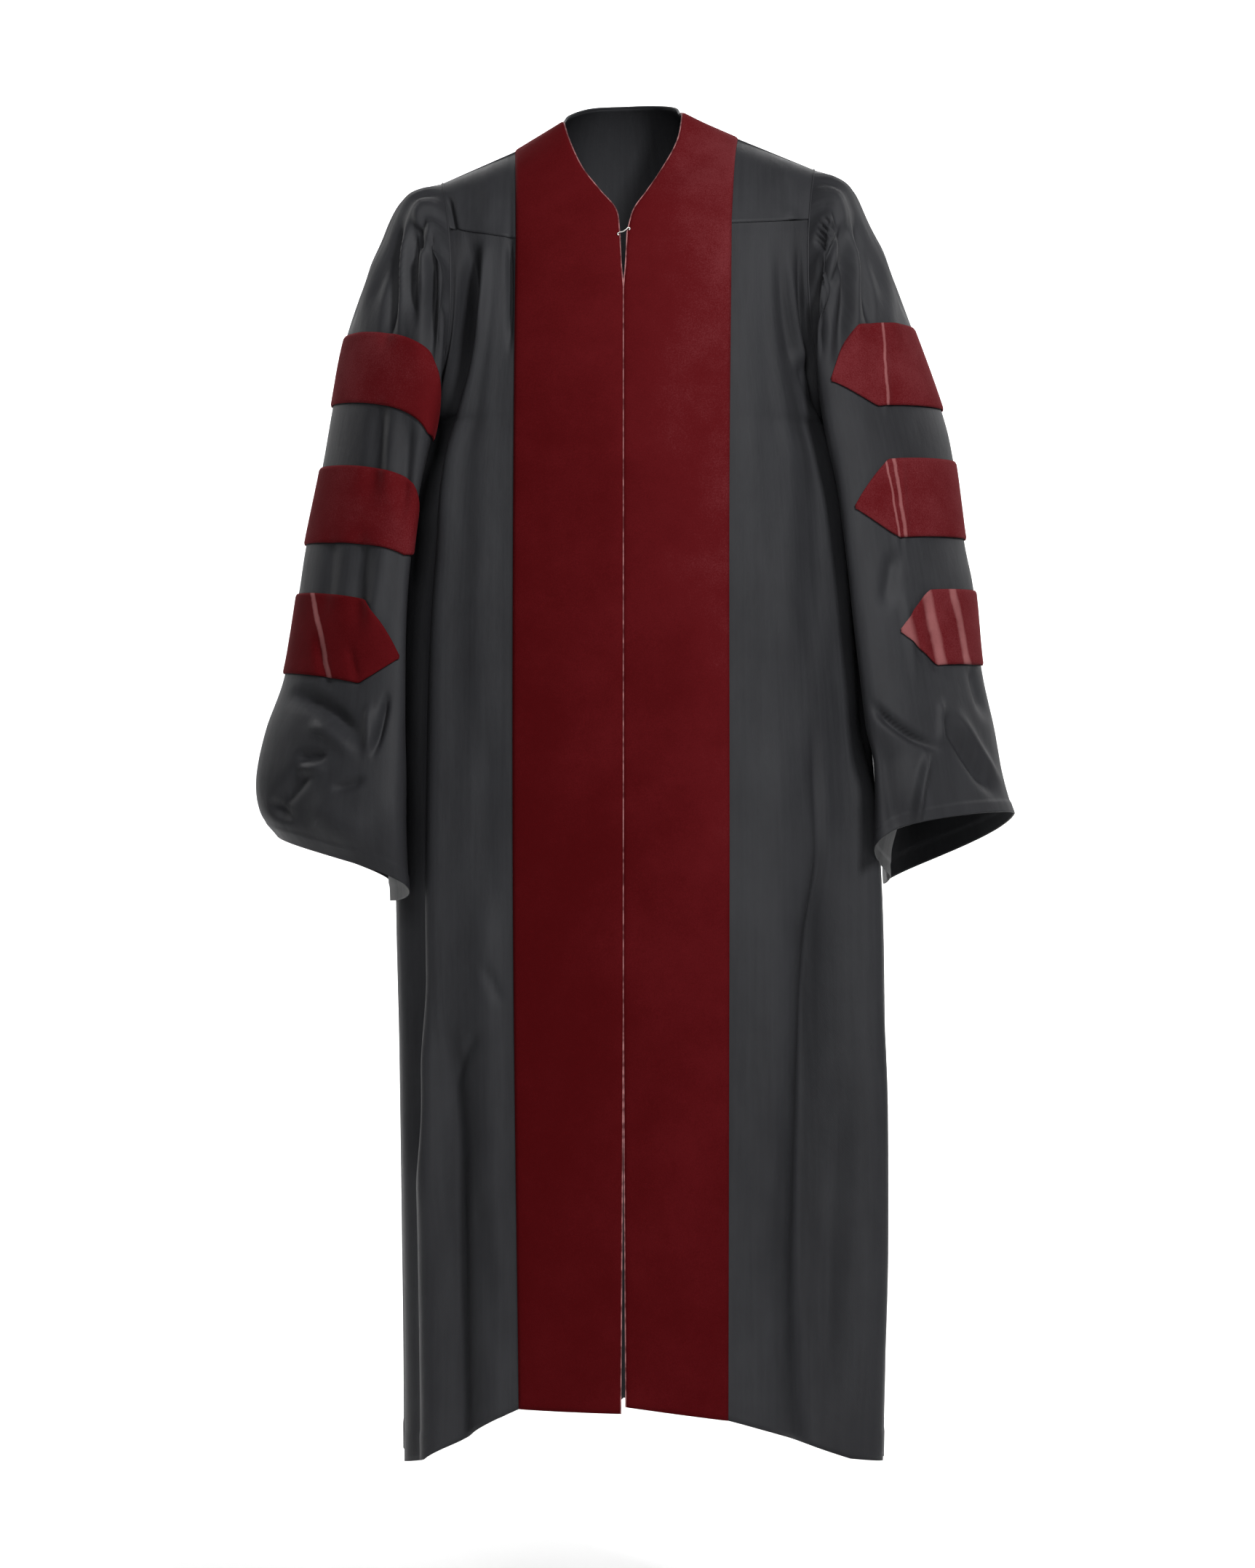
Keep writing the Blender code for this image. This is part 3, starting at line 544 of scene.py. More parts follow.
# The two fronts: charcoal panels that hang from the front yokes in a few long uneven folds and end in
# a stitched hem. Their centre edges lie under the velvet.
NECK_EDGE = {
    "left": (
        (-56, 0, -3),
        (-55.5, -16, -6),
        (-51, -38, -24),
        (-37, -61, -57),
        (-21, -80, -80),
        (-6, -95, -101),
        (-3.6, -102, -121),
    ),
    "right": (
        (53, 0, 5),
        (54.5, -16, 2.5),
        (51, -38, -24),
        (33, -62, -61),
        (21, -80, -81),
        (9, -94, -100),
        (3.6, -102, -121),
    ),
}
YOKE_SEAM = {"left": (121, 124, 110), "right": (121, 110, 103)}
# How far the yoke stands off a straight line along the velvet's outer edge, halfway down.
VELVET_BULGE = (0, -2, 15)
VELVET_EDGE_COLUMNS = "drop left right"
VELVET_EDGE = ((100, 98, 99), (300, 99.5, 96.5), (700, 100, 96), (1200, 94, 94.5))
SLIT_COLUMNS = "drop half_gap"
SLIT = ((121, 3.6), (150, 2.2), (173, 0.15), (820, 0.15), (1000, 1.2), (1200, 2.6))
Fold = namedtuple("Fold", "start stop across_start across_stop width height")
FOLDS = {
    "left": (
        Fold(125, 620, 1.22, 1.12, 0.07, 2.5),
        Fold(104, 1060, 1.36, 1.44, 0.09, 7.0),
        Fold(104, 1000, 1.62, 1.64, 0.13, -20.0),
        Fold(125, 480, 1.86, 1.82, 0.05, 3.0),
        Fold(700, 1400, 1.12, 1.11, 0.07, 5.0),
        Fold(820, 1400, 1.33, 1.28, 0.07, -12.0),
        Fold(800, 1400, 1.50, 1.47, 0.10, 8.0),
        Fold(880, 1400, 1.72, 1.70, 0.09, -9.0),
    ),
    "right": (
        Fold(110, 560, 1.40, 1.24, 0.07, 2.5),
        Fold(110, 520, 1.55, 1.42, 0.06, -3.0),
        Fold(110, 620, 1.69, 1.60, 0.07, 5.0),
        Fold(110, 700, 1.83, 1.78, 0.06, -8.0),
        Fold(560, 1400, 1.18, 1.12, 0.08, 4.0),
        Fold(680, 1400, 1.38, 1.34, 0.11, -20.0),
        Fold(560, 1400, 1.64, 1.62, 0.10, 15.0),
        Fold(660, 1400, 1.86, 1.86, 0.06, -4.0),
    ),
}
FOLD_FADE = 90
FOLD_IN = (0.95, 1.1)
FOLD_OUT = (2, 1.86)
FRONT_CREASES = {
    "left": (
        Crease(-105, 112, -103, 240, 0, 3.5, -8),
        Crease(-127, 120, -130, 236, 0, 5, 3),
        Crease(-134, 118, -150, 270, 4, 5, -7, 2),
        Crease(-146, 250, -166, 420, 4, 10, 3),
        Crease(-128, 786, -108, 830, 0, 5, -3),
        Crease(-156, 900, -126, 846, -4, 6, -3.5),
        Crease(-140, 872, -158, 1160, 5, 9, -4, 1.6),
        Crease(-118, 560, -124, 760, 5, 12, -2.5),
        Crease(-132, 980, -120, 1170, -5, 9, -3),
    ),
    "right": (
        Crease(174, 124, 169, 164, -5, 2.5, -4),
        Crease(173, 162, 179, 190, 0, 2.5, -4),
        Crease(164, 226, 189, 292, 6, 7, -8),
        Crease(154, 223, 176, 283, 4, 7, 3),
        Crease(170, 172, 178, 262, 0, 5, -5),
        Crease(173, 560, 186, 800, 0, 5, -5),
        Crease(150, 300, 170, 560, -8, 16, -3),
        Crease(190, 640, 162, 1300, 6, 9, -20, 2.2),
        Crease(212, 820, 214, 1300, 0, 9, 5, 1.3),
        Crease(205, 900, 194, 1210, 0, 5, -5),
        Crease(158, 860, 142, 1210, 6, 9, -4),
        Crease(224, 805, 222, 1202, 0, 12, 4),
        Crease(118, 100, 124, 420, 4, 14, 2),
    ),
}
YOKE_CREASES = {
    "left": (Crease(-164, 74, -153, 130, 0, 3, -5), Crease(-120, 70, -132, 120, 0, 10, 1.5)),
    "right": (Crease(150, 90, 164, 122, 0, 6, 1.5),),
}
VELVET_COLUMNS = 30
FRONT_CLOTH_COLUMNS = 80
FRONT_ROWS = 260
TOP_ROWS_CLOSER = 1.3
YOKE_ROWS = 40


def fold_heights(side, drop, across):
    """How far the folds of a front stand off its plain form."""
    height = np.zeros(np.broadcast(drop, across).shape)
    for fold in FOLDS[side]:
        share = (drop - fold.start) / (fold.stop - fold.start)
        place = fold.across_start + (fold.across_stop - fold.across_start) * share
        begun = smooth_step(fold.start, fold.start + FOLD_FADE, drop)
        ended = smooth_step(fold.stop - FOLD_FADE, fold.stop, drop)
        height += fold.height * begun * (1 - ended) * np.exp(-(((across - place) / fold.width) ** 2))
    return height * smooth_step(*FOLD_IN, across) * smooth_step(*FOLD_OUT, across)


def front_across(velvet_columns, cloth_columns):
    """Places across a front: 0 at its centre edge, 1 at the velvet's outer edge and 2 at the side."""
    return np.concatenate([np.linspace(0, 1, velvet_columns + 1), np.linspace(1, 2, cloth_columns + 1)[1:]])


def front_panel(side, down, across):
    """Points of a front from its yoke seam (down 0) to its hem (1), for places across as in FOLDS."""
    down, across = np.meshgrid(down, across, indexing="ij")
    seam = np.interp(across, (0, 1, 2), YOKE_SEAM[side])
    hem = np.interp(across, (0, 1, 1.5, 2), HEM[side])
    drop = seam + (hem - seam) * down
    edge = named(VELVET_EDGE_COLUMNS, VELVET_EDGE)
    slit = named(SLIT_COLUMNS, SLIT)
    velvet_x = smooth_between(edge["drop"], edge[side], drop)
    centre_x = np.interp(drop, slit["drop"], slit["half_gap"])
    end_x = np.abs(side_edge(side, drop, 1)[0])
    last = end_turn(drop)
    x = centre_x + (velvet_x - centre_x) * np.minimum(across, 1)
    angle = np.arcsin(np.clip((x / end_x) ** (FRONT_ROUNDNESS / 2) * np.sin(last), 0, 1))
    angle = angle + (last - angle) * np.clip(across - 1, 0, 1)
    grid = body_point(side, drop, angle / last, "front")
    height = fold_heights(side, drop, across)
    over_cloth = smooth_step(1, 1.06, across) * smooth_step(2, 1.9, across)
    height += crease_heights(FRONT_CREASES[side], grid) * over_cloth
    height += HEM_SWELL * smooth_step(hem - HEM_DEPTH - 2, hem - HEM_DEPTH, drop) * (across > 1)
    return grid + outward_normals(grid, (0, -1, 0)) * height[..., None]


def front_yoke(side, rows, velvet_columns, cloth_columns):
    """Points of a front yoke, from the shoulder seam to the seam with the front under it."""
    neck, velvet, tip = SHOULDER[side]
    over_velvet = straight(neck, velvet, velvet_columns + 1)
    over_cloth = straight(velvet, tip, cloth_columns + 1)
    top = np.concatenate([over_velvet, over_cloth[1:]])
    bottom = front_panel(side, SEAM_ROWS, front_across(velvet_columns, cloth_columns))[0]
    first = along(NECK_EDGE[side], np.linspace(0, 1, rows + 1))
    first[-1] = bottom[0]
    bulge = np.sin(np.linspace(0, math.pi, rows + 1))[:, None] * np.array(VELVET_BULGE, float)
    split = straight(velvet, bottom[velvet_columns], rows + 1) + bulge
    angles = np.linspace(0, armhole_angle(side, YOKE_SEAM[side][2]), rows + 1)
    under_velvet = patch(top[: velvet_columns + 1], bottom[: velvet_columns + 1], first, split)
    beside_it = patch(top[velvet_columns:], bottom[velvet_columns:], split, armhole(side, angles))
    creased = crease_heights(YOKE_CREASES[side], beside_it)
    beside_it = beside_it + outward_normals(beside_it, (0, -1, 0)) * creased[..., None]
    return np.concatenate([under_velvet, beside_it[:, 1:]], axis=1)


front_grids = {}
front_yoke_grids = {}
for side in ("left", "right"):
    front_yoke_grids[side] = front_yoke(side, YOKE_ROWS, VELVET_COLUMNS, FRONT_CLOTH_COLUMNS)
    down = np.linspace(0, 1, FRONT_ROWS) ** TOP_ROWS_CLOSER
    panel = front_panel(side, down, front_across(VELVET_COLUMNS, FRONT_CLOTH_COLUMNS))
    front_grids[side] = panel
    tucked = tucked_under(front_yoke_grids[side], panel, (0, -1, 0))
    front = cloth(f"gown_front_{side}", tucked, (0, -1, 0), CLOTH_WALL, charcoal, [f"front_{side}"])

# The front yokes: plain flat pieces between the shoulder seams and the fronts, which they overlap.
for side in ("left", "right"):
    name = f"gown_front_yoke_{side}"
    yoke = cloth(name, front_yoke_grids[side], (0, -1, 0), CLOTH_WALL, charcoal, [f"front_yoke_{side}"])

# The velvet fronts: a maroon band down each front from the shoulder seam to the hem, sewn on along its
# outer edge and turned over the neck and centre edges, whose turned edges are painted paler as a highlight.
VELVET_WALL = 1.0
VELVET_LIFT = 0.3
VELVET_SWELL = 0.9
VELVET_EDGE_WIDTH = 0.05
FOLD_RADIUS = 0.65
VELVET_DEEP = (0.064, 0.0018, 0.0028, 1)
VELVET_PLAIN = (0.096, 0.0052, 0.0072, 1)
# The palest velvet, reached where painted light and a given paleness lift the colour.
VELVET_PALE_AND_PAINTED_LIGHT = (0.165, 0.0290, 0.0340, 1)
# The pale pink of the painted highlights along folds and turned edges.
VELVET_PAINTED_HIGHLIGHT = (0.42, 0.17, 0.17, 1)
PILE = 0.0011


def maroon_velvet(name, paleness, painted_highlight_lines=()):
    """Maroon velvet: a short dense pile, deep where it leans down and paler where it leans up, with painted
    light that makes it paler towards the top and towards the right.

    Painted highlight lines are thin pale streaks along creases: x and z in metres at both ends, half width.
    """
    look = Look(name, roughness=0.8, sheen_weight=0.12, sheen_roughness=0.35, specular_ior_level=0.04)
    look.shader.inputs["Sheen Tint"].default_value = (0.85, 0.12, 0.15, 1)
    places, across, height = look.place()
    mottle = look.noise(places, 26, 5, 0.6)
    broad = look.noise(look.stretched(places, 7, 3), 1, 3)
    pile = look.noise(places, 1 / PILE, 2)
    # Painted light: side makes the velvet paler towards the right and high makes it paler towards the top,
    # as the light falls on it.
    side = across.clipped(-0.12, 0.16)
    high = height.clipped(-1.1, 0.05)
    lean = mottle * 0.3 + broad * 0.35 + pile * 0.35
    nap_and_painted_light = lean.clipped(0.3, 0.7) * 0.3 + side * 0.2 + high * 0.14 + side * high * 0.22 + paleness
    nap_and_painted_light = nap_and_painted_light.clipped(0, 1)
    dark = look.mix(nap_and_painted_light.clipped(0, 0.5), VELVET_DEEP, VELVET_PLAIN)
    colour = look.mix(nap_and_painted_light.clipped(0.45, 1), dark, VELVET_PALE_AND_PAINTED_LIGHT)
    wobble = (mottle - 0.5) * 0.006
    # Painted highlights: thin pale streaks along creases in the bars.
    for x, z, end_x, end_z, width in painted_highlight_lines:
        slope = (end_x - x) / (end_z - z)
        aside = (across - (height - z) * slope - x + wobble) / width
        highlight_share = (1 - (aside * aside).clipped(0, 1)) * (0.2 + 0.6 * mottle)
        colour = look.mix(highlight_share, colour, VELVET_PAINTED_HIGHLIGHT)
    look.show("Base Color", colour)
    look.show("Roughness", 0.72 + 0.2 * pile)
    look.bump(pile * 0.25 + mottle * 0.5, 0.001)
    return look.made


def folded_velvet_painted_highlight():
    """The turned edge of the velvet, painted paler as a highlight along the fold."""
    look = Look("folded_velvet_painted_highlight", roughness=0.8, sheen_weight=0.3)
    places, _, _ = look.place()
    mottle = look.noise(places, 120, 3)
    look.show("Base Color", look.mix(mottle.clipped(0.35, 0.7), VELVET_PLAIN, VELVET_PAINTED_HIGHLIGHT))
    return look.made


def cord(name, points, radius, finish, nodes=(), closed=False):
    """A thin round line of cloth or thread along some points."""
    line = bpy.data.curves.new(name, "CURVE")
    line.dimensions = "3D"
    line.bevel_depth = radius * MM
    line.bevel_resolution = 2
    line.use_fill_caps = True
    spline = line.splines.new("POLY")
    spline.points.add(len(points) - 1)
    flat = np.concatenate([points * MM, np.ones((len(points), 1))], axis=1)
    spline.points.foreach_set("co", flat.ravel())
    spline.use_cyclic_u = closed
    line.materials.append(finish)
    made = bpy.data.objects.new(name, line)
    bpy.context.collection.objects.link(made)
    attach(made, "root")
    if nodes:
        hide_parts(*nodes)
    return made


velvet = maroon_velvet("maroon_velvet", 0.0)
edge_highlight_look = folded_velvet_painted_highlight()
for side in ("left", "right"):
    over_yoke = front_yoke_grids[side][:, : VELVET_COLUMNS + 1]
    over_panel = front_grids[side][1:, : VELVET_COLUMNS + 1]
    band = np.concatenate([over_yoke, over_panel])
    edge_share = np.minimum(np.linspace(0, 1, VELVET_COLUMNS + 1), np.linspace(1, 0, VELVET_COLUMNS + 1))
    swell = VELVET_SWELL * np.sqrt(smooth_step(0, VELVET_EDGE_WIDTH, edge_share))
    band = band + outward_normals(band, (0, -1, 0)) * (VELVET_LIFT + swell)[None, :, None]
    name = f"gown_velvet_{side}"
    piece = cloth(name, band, (0, -1, 0), VELVET_WALL, velvet, [f"velvet_front_{side}"], outside=True)
    normals = outward_normals(band, (0, -1, 0))
    edge = (band + normals * 0.7)[:, 0]
    # The turned edge is painted pale as a highlight.
    turned = cord(f"velvet_edge_{side}", edge, FOLD_RADIUS, edge_highlight_look)

# The sleeves: long bell sleeves of the same cloth, pleated into the armholes over the shoulder and
# hanging in soft creases to a wide cuff with a turned hem. Each is sewn into one tube.
SLEEVE_COLUMNS = "outer_x outer_drop inner_x inner_drop depth middle_y inset curl bend lift"
SLEEVE = {
    "left": (
        (-170, 60, -176, 290, 84, 4, 14, 2.0, 1.0, 0),
        (-188, 66, -183, 297, 88, 1, 21, 1.8, 1.2, 0),
        (-205, 76, -189, 303, 91, -2, 30, 1.6, 1.4, 0),
        (-218, 97, -194, 308, 94, -4, 40, 1.4, 1.6, 0),
        (-236, 144, -199, 316, 97, -6, 50, 1.3, 1.9, 0),
        (-260, 206, -203, 326, 99, -6, 58, 1.2, 2.0, 0),
        (-273, 272, -208, 352, 100, -6, 56, 1.5, 1.7, 0),
        (-283, 329, -212, 392, 100, -6, 54, 1.9, 1.7, 0),
        (-298, 402, -216, 446, 102, -6, 54, 2.0, 1.7, 0),
        (-305, 447, -219, 505, 105, -6, 55, 2.0, 1.5, 0),
        (-318, 523, -221, 582, 110, -6, 60, 1.9, 1.3, 0),
        (-336, 575, -221, 628, 119, -6, 66, 1.7, 1.0, 0),
        (-345, 620, -221, 672, 127, -6, 68, 1.6, 0.9, 1),
        (-341, 652, -220, 710, 125, -6, 66, 1.5, 0.8, 1),
        (-325, 673, -219, 735, 119, -6, 62, 1.5, 0.7, 1),
    ),
    "right": (
        (179, 47, 190, 290, 84, 4, 14, 2.0, 1.0, 0),
        (198, 55, 197, 296, 88, 1, 20, 1.8, 1.2, 0),
        (215, 69, 202, 301, 91, -2, 28, 1.6, 1.4, 0),
        (228, 97, 207, 306, 94, -4, 38, 1.4, 1.6, 0),
        (246, 138, 211, 312, 97, -6, 50, 1.3, 1.9, 0),
        (271, 198, 215, 318, 99, -6, 60, 1.2, 2.2, 0),
        (299, 276, 219, 342, 100, -6, 64, 1.4, 2.1, 0),
        (310, 323, 223, 382, 100, -6, 62, 1.7, 2.0, 0),
        (320, 397, 228, 450, 102, -6, 60, 1.9, 2.0, 0),
        (329, 444, 232, 500, 105, -6, 60, 1.9, 1.8, 0),
        (336, 515, 238, 566, 110, -6, 58, 1.9, 1.8, 0),
        (348, 572, 244, 614, 117, -6, 60, 1.8, 1.4, 4),
        (355, 612, 248, 655, 122, -6, 62, 1.7, 1.1, 9),
        (361, 636, 250, 690, 124, -6, 63, 1.6, 0.9, 15),
        (367, 654, 251, 713, 124, -6, 64, 1.6, 0.75, 21),
    ),
}
BACK_INSET_SHARE = 0.55
BACK_INSET_RING = 3
HEAD_PLEATS = 11
HEAD_SPAN = math.radians(118)
PLEAT_HEIGHT = 3.4
PLEAT_CREST = 0.5
PLEAT_VALLEY = 1.5
PLEAT_SHARPNESS = 3
PLEAT_RINGS = ((0, 0.0), (1, 0.8), (3, 1.0), (4.4, 0.7), (5, 0.0))
PLEAT_SHARES = (0.7, 1.1, 0.9, 1.25, 0.8, 1.0, 1.2, 0.75, 1.15, 0.9, 1.0)
SLEEVE_GAP = 0.4
SLEEVE_RING_STEPS = 200
SLEEVE_TURN_STEPS = 230
FRONT_COLUMNS_CLOSER = 0.35
CUFF_RINGS = (13.3, 13.45)
SLEEVE_CREASES = {
    "left": (
        Crease(-206, 96, -220, 232, -1, 5, -11),
        Crease(-194, 92, -190, 216, 4, 3, -10, 1.6),
        Crease(-194, 106, -182, 140, 0, 2.5, -5),
        Crease(-178, 118, -175, 262, 0, 5, -11, 1.6),
        Crease(-202, 98, -206, 230, 0, 3.5, 5),
        Crease(-183, 124, -182, 190, 0, 3.5, 5),
        Crease(-226, 110, -244, 226, 0, 8, 4),
        Crease(-224, 262, -232, 380, 0, 8, -4),
        Crease(-211, 270, -216, 380, 0, 7, 3),
        Crease(-196, 280, -202, 400, 0, 6, -5),
        Crease(-268, 384, -276, 480, 0, 7, -3),
        Crease(-238, 384, -242, 492, 4, 8, -5),
        Crease(-216, 392, -233, 505, 0, 8, 4),
        Crease(-281, 484, -266, 544, 3, 4, -4),
        Crease(-252, 496, -240, 540, 0, 4, -3),
        Crease(-314, 540, -236, 596, -11, 8, -10),
        Crease(-290, 568, -240, 606, -6, 8, 6),
        Crease(-304, 601, -268, 599, 0, 4, -6),
        Crease(-304, 613, -268, 610, 0, 4, 4),
        Crease(-286, 606, -328, 656, 0, 9, -7),
        Crease(-215, 540, -231, 606, -2, 3.5, -8),
        Crease(-232, 548, -231, 606, 0, 5, 5),
        Crease(-268, 630, -232, 618, 2, 4, -5),
        Crease(-330, 640, -300, 658, 3, 5, -5),
        Crease(-290, 636, -222, 676, 6, 16, 6),
    ),
    "right": (
        Crease(202, 100, 185, 178, -8, 2.5, -7, 1.4),
        Crease(207, 92, 192, 262, -6, 3, -12, 2.6),
        Crease(214, 92, 228, 218, -2, 4.5, -10),
        Crease(184, 128, 180, 250, 0, 3, -9, 2.0),
        Crease(200, 116, 185, 162, 3, 2.2, -5),
        Crease(183, 103, 201, 121, 0, 2, -5),
        Crease(179, 107, 195, 125, 0, 1.7, -3.5),
        Crease(177, 112, 191, 130, 0, 1.7, -3.5),
        Crease(175, 117, 188, 134, 0, 1.7, -3.5),
        Crease(174, 122, 185, 138, 0, 1.7, -3),
        Crease(217, 104, 214, 230, 0, 5, 4),
        Crease(232, 96, 250, 226, -3, 7, 4),
        Crease(239, 204, 244, 300, 2, 2.2, 2.5),
        Crease(254, 316, 262, 430, 2, 2.2, 2.5),
        Crease(246, 320, 254, 424, 2, 2.2, 2),
        Crease(258, 440, 272, 540, 3, 4, 3),
        Crease(276, 436, 292, 540, 0, 6, -4),
        Crease(222, 550, 296, 596, 5, 4, -10),
        Crease(238, 566, 258, 700, 4, 16, -12),
        Crease(280, 592, 267, 672, 3, 3.5, 8),
        Crease(290, 556, 350, 644, 3, 5, -8),
        Crease(304, 552, 356, 632, 3, 5, 5),
        Crease(292, 544, 291, 596, 0, 3, 4),
        Crease(322, 510, 340, 570, 2, 5, -5),
        Crease(244, 560, 250, 670, 0, 12, 3.5),
        Crease(249, 408, 239, 470, 0, 7, -5),
    ),
}
SLEEVE_BACK_CREASES = {
    "left": (
        Crease(-196, 80, -212, 250, 4, 8, -4),
        Crease(-250, 250, -232, 420, 8, 10, -4),
        Crease(-222, 330, -262, 470, 0, 12, 3),
        Crease(-300, 480, -240, 560, -8, 11, -4),
        Crease(-238, 560, -300, 640, 6, 14, -5),
        Crease(-262, 600, -244, 710, 0, 12, 4),
    ),
    "right": (
        Crease(206, 70, 222, 240, -4, 8, -4),
        Crease(262, 230, 244, 400, -8, 10, -4),
        Crease(236, 320, 284, 480, 0, 12, 3),
        Crease(322, 470, 262, 560, 8, 11, -4),
        Crease(258, 540, 326, 630, -6, 14, -5),
        Crease(290, 590, 270, 690, 0, 12, 4),
        Crease(244, 560, 250, 670, 0, 12, 3.5),
    ),
}


def sleeve_point(side, ring, angle):
    """Points of a sleeve; ring counts the table's rows and angle is 0 outside, 90 degrees in front."""
    table = named(SLEEVE_COLUMNS, SLEEVE[side])
    keys = np.arange(len(SLEEVE[side]), dtype=float)
    at = {name: smooth_between(keys, values, ring) for name, values in table.items()}
    down = ((1 - np.cos(angle)) / 2) ** at["bend"]
    over = (1 + np.cos(angle)) / 2
    sign = np.sign(at["outer_x"])
    back_share = BACK_INSET_SHARE + (1 - BACK_INSET_SHARE) * smooth_step(BACK_INSET_RING, 0, ring)
    inset = sign * at["inset"] * np.where(np.sin(angle) > 0, 1, back_share)
    curl = np.where((np.sin(angle) > 0) & (np.cos(angle) < 0), at["curl"], 2)
    x = at["inner_x"] + (at["outer_x"] - at["inner_x"]) * over - inset * np.abs(np.sin(angle)) ** curl
    y = at["middle_y"] - at["depth"] * np.sin(angle)
    z = -(at["outer_drop"] + (at["inner_drop"] - at["outer_drop"]) * down) + at["lift"] * np.sin(angle)
    return np.stack([x, y, z], axis=-1)


def pleat_heights(ring, angle):
    """Rounded pleats with narrow valleys round the sleeve head, some deeper than others."""
    phase = (angle + HEAD_SPAN) / (2 * HEAD_SPAN) * HEAD_PLEATS
    wave = PLEAT_CREST - PLEAT_VALLEY * np.abs(np.cos(math.pi * phase)) ** PLEAT_SHARPNESS
    depth = np.array(PLEAT_SHARES)[np.clip(np.round(phase).astype(int), 0, HEAD_PLEATS - 1)]
    rings, shares = np.array(PLEAT_RINGS).T
    inside = (phase > 0) & (phase < HEAD_PLEATS)
    return PLEAT_HEIGHT * depth * wave * np.interp(ring, rings, shares) * inside


def sleeve(side, rings, angles):
    """Points of a whole sleeve with its pleats and creases, closed round the arm."""
    wrapped = np.concatenate([angles[-1:] - 2 * math.pi, angles, angles[:1] + 2 * math.pi])
    ring, angle = np.meshgrid(rings, wrapped, indexing="ij")
    grid = sleeve_point(side, ring, angle)
    outward = 1 if side == "right" else -1
    normals = np.cross(np.gradient(grid, axis=0), np.gradient(grid, axis=1))
    normals /= np.linalg.norm(normals, axis=-1, keepdims=True)
    normals *= outward * np.sign(normals[len(rings) // 2, np.argmin(np.abs(wrapped)), 0])
    facing_front = smooth_step(-0.1, 0.15, np.sin(angle))
    height = pleat_heights(ring, angle)
    below_head = smooth_step(0, 0.7, ring)
    height += crease_heights(SLEEVE_CREASES[side], grid) * facing_front * below_head
    height += crease_heights(SLEEVE_BACK_CREASES[side], grid) * (1 - facing_front) * below_head
    height += HEM_SWELL * smooth_step(*CUFF_RINGS, ring)
    grid = grid + normals * height[..., None]
    grid[0, :, 0] += outward * SLEEVE_GAP
    return grid[:, 1:-1], normals[:, 1:-1]


sleeve_rings = np.linspace(0, 14, SLEEVE_RING_STEPS + 1)
even_angles = np.linspace(-math.pi, math.pi, SLEEVE_TURN_STEPS + 1)[1:]
sleeve_angles = even_angles + FRONT_COLUMNS_CLOSER * np.cos(even_angles)
sleeve_grids = {}
for side in ("left", "right"):
    facing = (1 if side == "right" else -1, 0, 0)
    sleeve_grids[side] = sleeve(side, sleeve_rings, sleeve_angles)
    tube = sleeve_grids[side][0]
    name = f"gown_sleeve_{side}"
    piece = cloth(name, tube, facing, CLOTH_WALL, charcoal, [f"sleeve_{side}"], closed=True)

# The sleeve bars: three bands of the same velvet round the outside of each sleeve, with chevron points,
# turned under all round and sewn down flat.
Bar = namedtuple("Bar", "top reach_front reach_back")
BARS = {
    "left": (Bar(5, 200, 128), Bar(7, 190, 128), Bar(9, 166, 124)),
    "right": (Bar(5, 151, 128), Bar(7, 157, 128), Bar(9, 135, 124)),
}
BAR_POINT = 40
BAR_ROUNDNESS = 0.9
BAR_HEIGHT_SHARE = 0.97
BAR_LIFT = 0.8
BAR_SWELL = 0.8
BAR_COLUMNS = 96
BAR_ROWS = 30
# How much paler each bar's velvet is made, one value per bar.
BAR_PALENESS = {"left": (0.28, 0.28, 0.1), "right": (-0.06, 0.02, 0.04)}
# Painted highlights along creases in some bars: x and z in metres at both ends, and half width.
PAINTED_HIGHLIGHT_LINES = {
    ("right", 1): ((0.2395, -0.210, 0.2435, -0.286, 0.0016),),
    ("right", 2): ((0.2490, -0.330, 0.2600, -0.405, 0.0022), (0.2430, -0.340, 0.2540, -0.405, 0.0014)),
    ("right", 3): (
        (0.2480, -0.445, 0.2680, -0.525, 0.0110),
        (0.2760, -0.440, 0.2960, -0.530, 0.0070),
        (0.3030, -0.440, 0.3230, -0.530, 0.0045),
    ),
    ("left", 3): ((-0.2830, -0.470, -0.2700, -0.530, 0.0030),),
}


def on_grid(grid, rows, columns, row, column):
    """Points of a grid between its own, at places given in the grid's rows and columns."""
    r = np.interp(row, rows, np.arange(len(rows)))
    c = np.interp(column, columns, np.arange(len(columns)))
    r0 = np.clip(r.astype(int), 0, len(rows) - 2)
    c0 = np.clip(c.astype(int), 0, len(columns) - 2)
    fr, fc = (r - r0)[..., None], (c - c0)[..., None]
    upper = grid[r0, c0] * (1 - fc) + grid[r0, c0 + 1] * fc
    lower = grid[r0 + 1, c0] * (1 - fc) + grid[r0 + 1, c0 + 1] * fc
    return upper * (1 - fr) + lower * fr


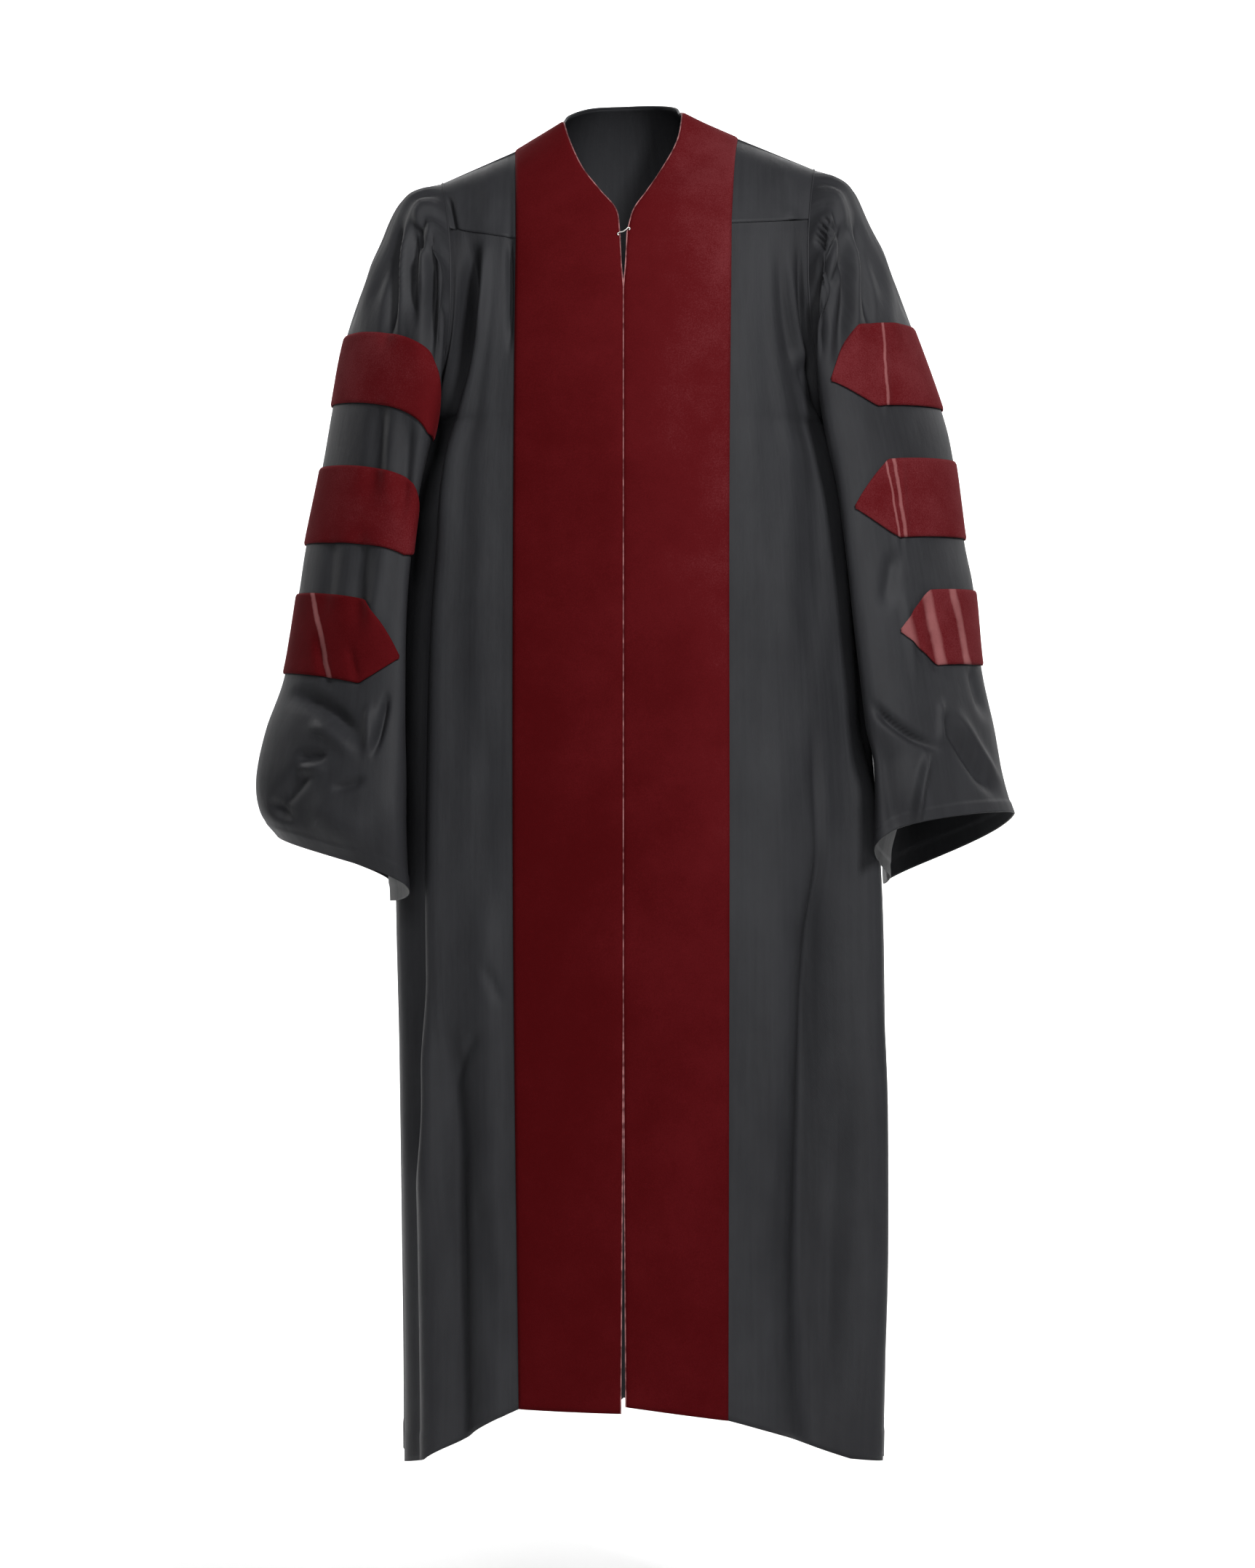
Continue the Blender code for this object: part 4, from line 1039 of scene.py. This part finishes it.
for side in ("left", "right"):
    tube, tube_normals = sleeve_grids[side]
    facing = (1 if side == "right" else -1, 0, 0)
    for number, row in enumerate(BARS[side], start=1):
        middle_ring = np.full(len(sleeve_angles), row.top + 0.5)
        middle = on_grid(tube, sleeve_rings, sleeve_angles, middle_ring, sleeve_angles)
        lengths = np.concatenate([[0], np.cumsum(np.linalg.norm(np.diff(middle, axis=0), axis=1))])
        lengths -= np.interp(0, sleeve_angles, lengths)
        places = np.linspace(-row.reach_back, row.reach_front, BAR_COLUMNS + 1)
        from_end = np.minimum(places + row.reach_back, row.reach_front - places)
        half = np.clip(from_end / BAR_POINT, 0.02, 1) ** BAR_ROUNDNESS
        angle = np.interp(places, lengths, sleeve_angles)
        share = np.linspace(-1, 1, BAR_ROWS + 1)[:, None]
        ring = row.top + 0.5 + 0.5 * BAR_HEIGHT_SHARE * half[None] * share
        angle = np.broadcast_to(angle[None], ring.shape)
        surface = on_grid(tube, sleeve_rings, sleeve_angles, ring, angle)
        normals = on_grid(tube_normals, sleeve_rings, sleeve_angles, ring, angle)
        inset = np.minimum(1 - np.abs(share), 1) * half[None] * 4
        swell = BAR_SWELL * np.sqrt(smooth_step(0, 0.3, inset))
        strip = surface + normals * (BAR_LIFT + swell)[..., None]
        lines = PAINTED_HIGHLIGHT_LINES.get((side, number), ())
        bar_velvet = maroon_velvet(f"bar_velvet_{side}_{number}", BAR_PALENESS[side][number - 1], lines)
        name = f"gown_bar_{side}_{number}"
        piece = cloth(name, strip, facing, VELVET_WALL, bar_velvet, [f"bar_{side}_{number}"], outside=True)

# Seams: each sleeve is sewn into its armhole, and the front and back yokes are joined along the
# shoulders, with the allowances turned inside so that a thin rounded ridge shows along each.
ARMHOLE_SEAM_RADIUS = 1.0
SHOULDER_SEAM_RADIUS = 0.9
for side in ("left", "right"):
    sign = 1 if side == "right" else -1
    ring = armhole(side, np.linspace(0, 2 * math.pi, 161)[:-1])
    ring[:, 0] += sign * SLEEVE_GAP / 2
    cord(f"armhole_seam_{side}", ring, ARMHOLE_SEAM_RADIUS, charcoal, closed=True)
    neck, velvet_end, tip = SHOULDER[side]
    ridge = np.concatenate([straight(neck, velvet_end, 20), straight(velvet_end, tip, 24)[1:]])
    cord(f"shoulder_seam_{side}", ridge, SHOULDER_SEAM_RADIUS, charcoal)

# The neck binding: a narrow strip of the cloth folded over the back edge of the neck.
BINDING_RADIUS = 1.2
binding = along(BACK_NECK, np.linspace(0, 1, 80))
cord("neck_binding", binding, BINDING_RADIUS, charcoal)

# The hook: bent pale wire, sewn inside the foot of the neck, that reaches across the slit.
HOOK_WIRE = 0.6
HOOK_DEPTH = 106
HOOK_PATH = (
    (-4.4, -123.8, 0.3),
    (-5.2, -122.2, 0.3),
    (-3.8, -121.0, 0.3),
    (-0.8, -120.4, 0.4),
    (2.4, -118.4, 0.9),
    (5.0, -116.4, 1.8),
    (6.0, -117.2, 2.0),
    (5.4, -118.6, 1.8),
)
wire = Look("hook_wire", metallic=0.6, roughness=0.35)
places, _, _ = wire.place()
tarnish = wire.noise(places, 900, 3)
wire.show("Base Color", wire.mix(tarnish.clipped(0.4, 0.7), (0.68, 0.67, 0.63, 1), (0.45, 0.43, 0.40, 1)))
path = along([(x, back - HOOK_DEPTH, z) for x, z, back in HOOK_PATH], np.linspace(0, 1, 60))
cord("gown_hook", path, HOOK_WIRE, wire.made, ["neck_hook"])
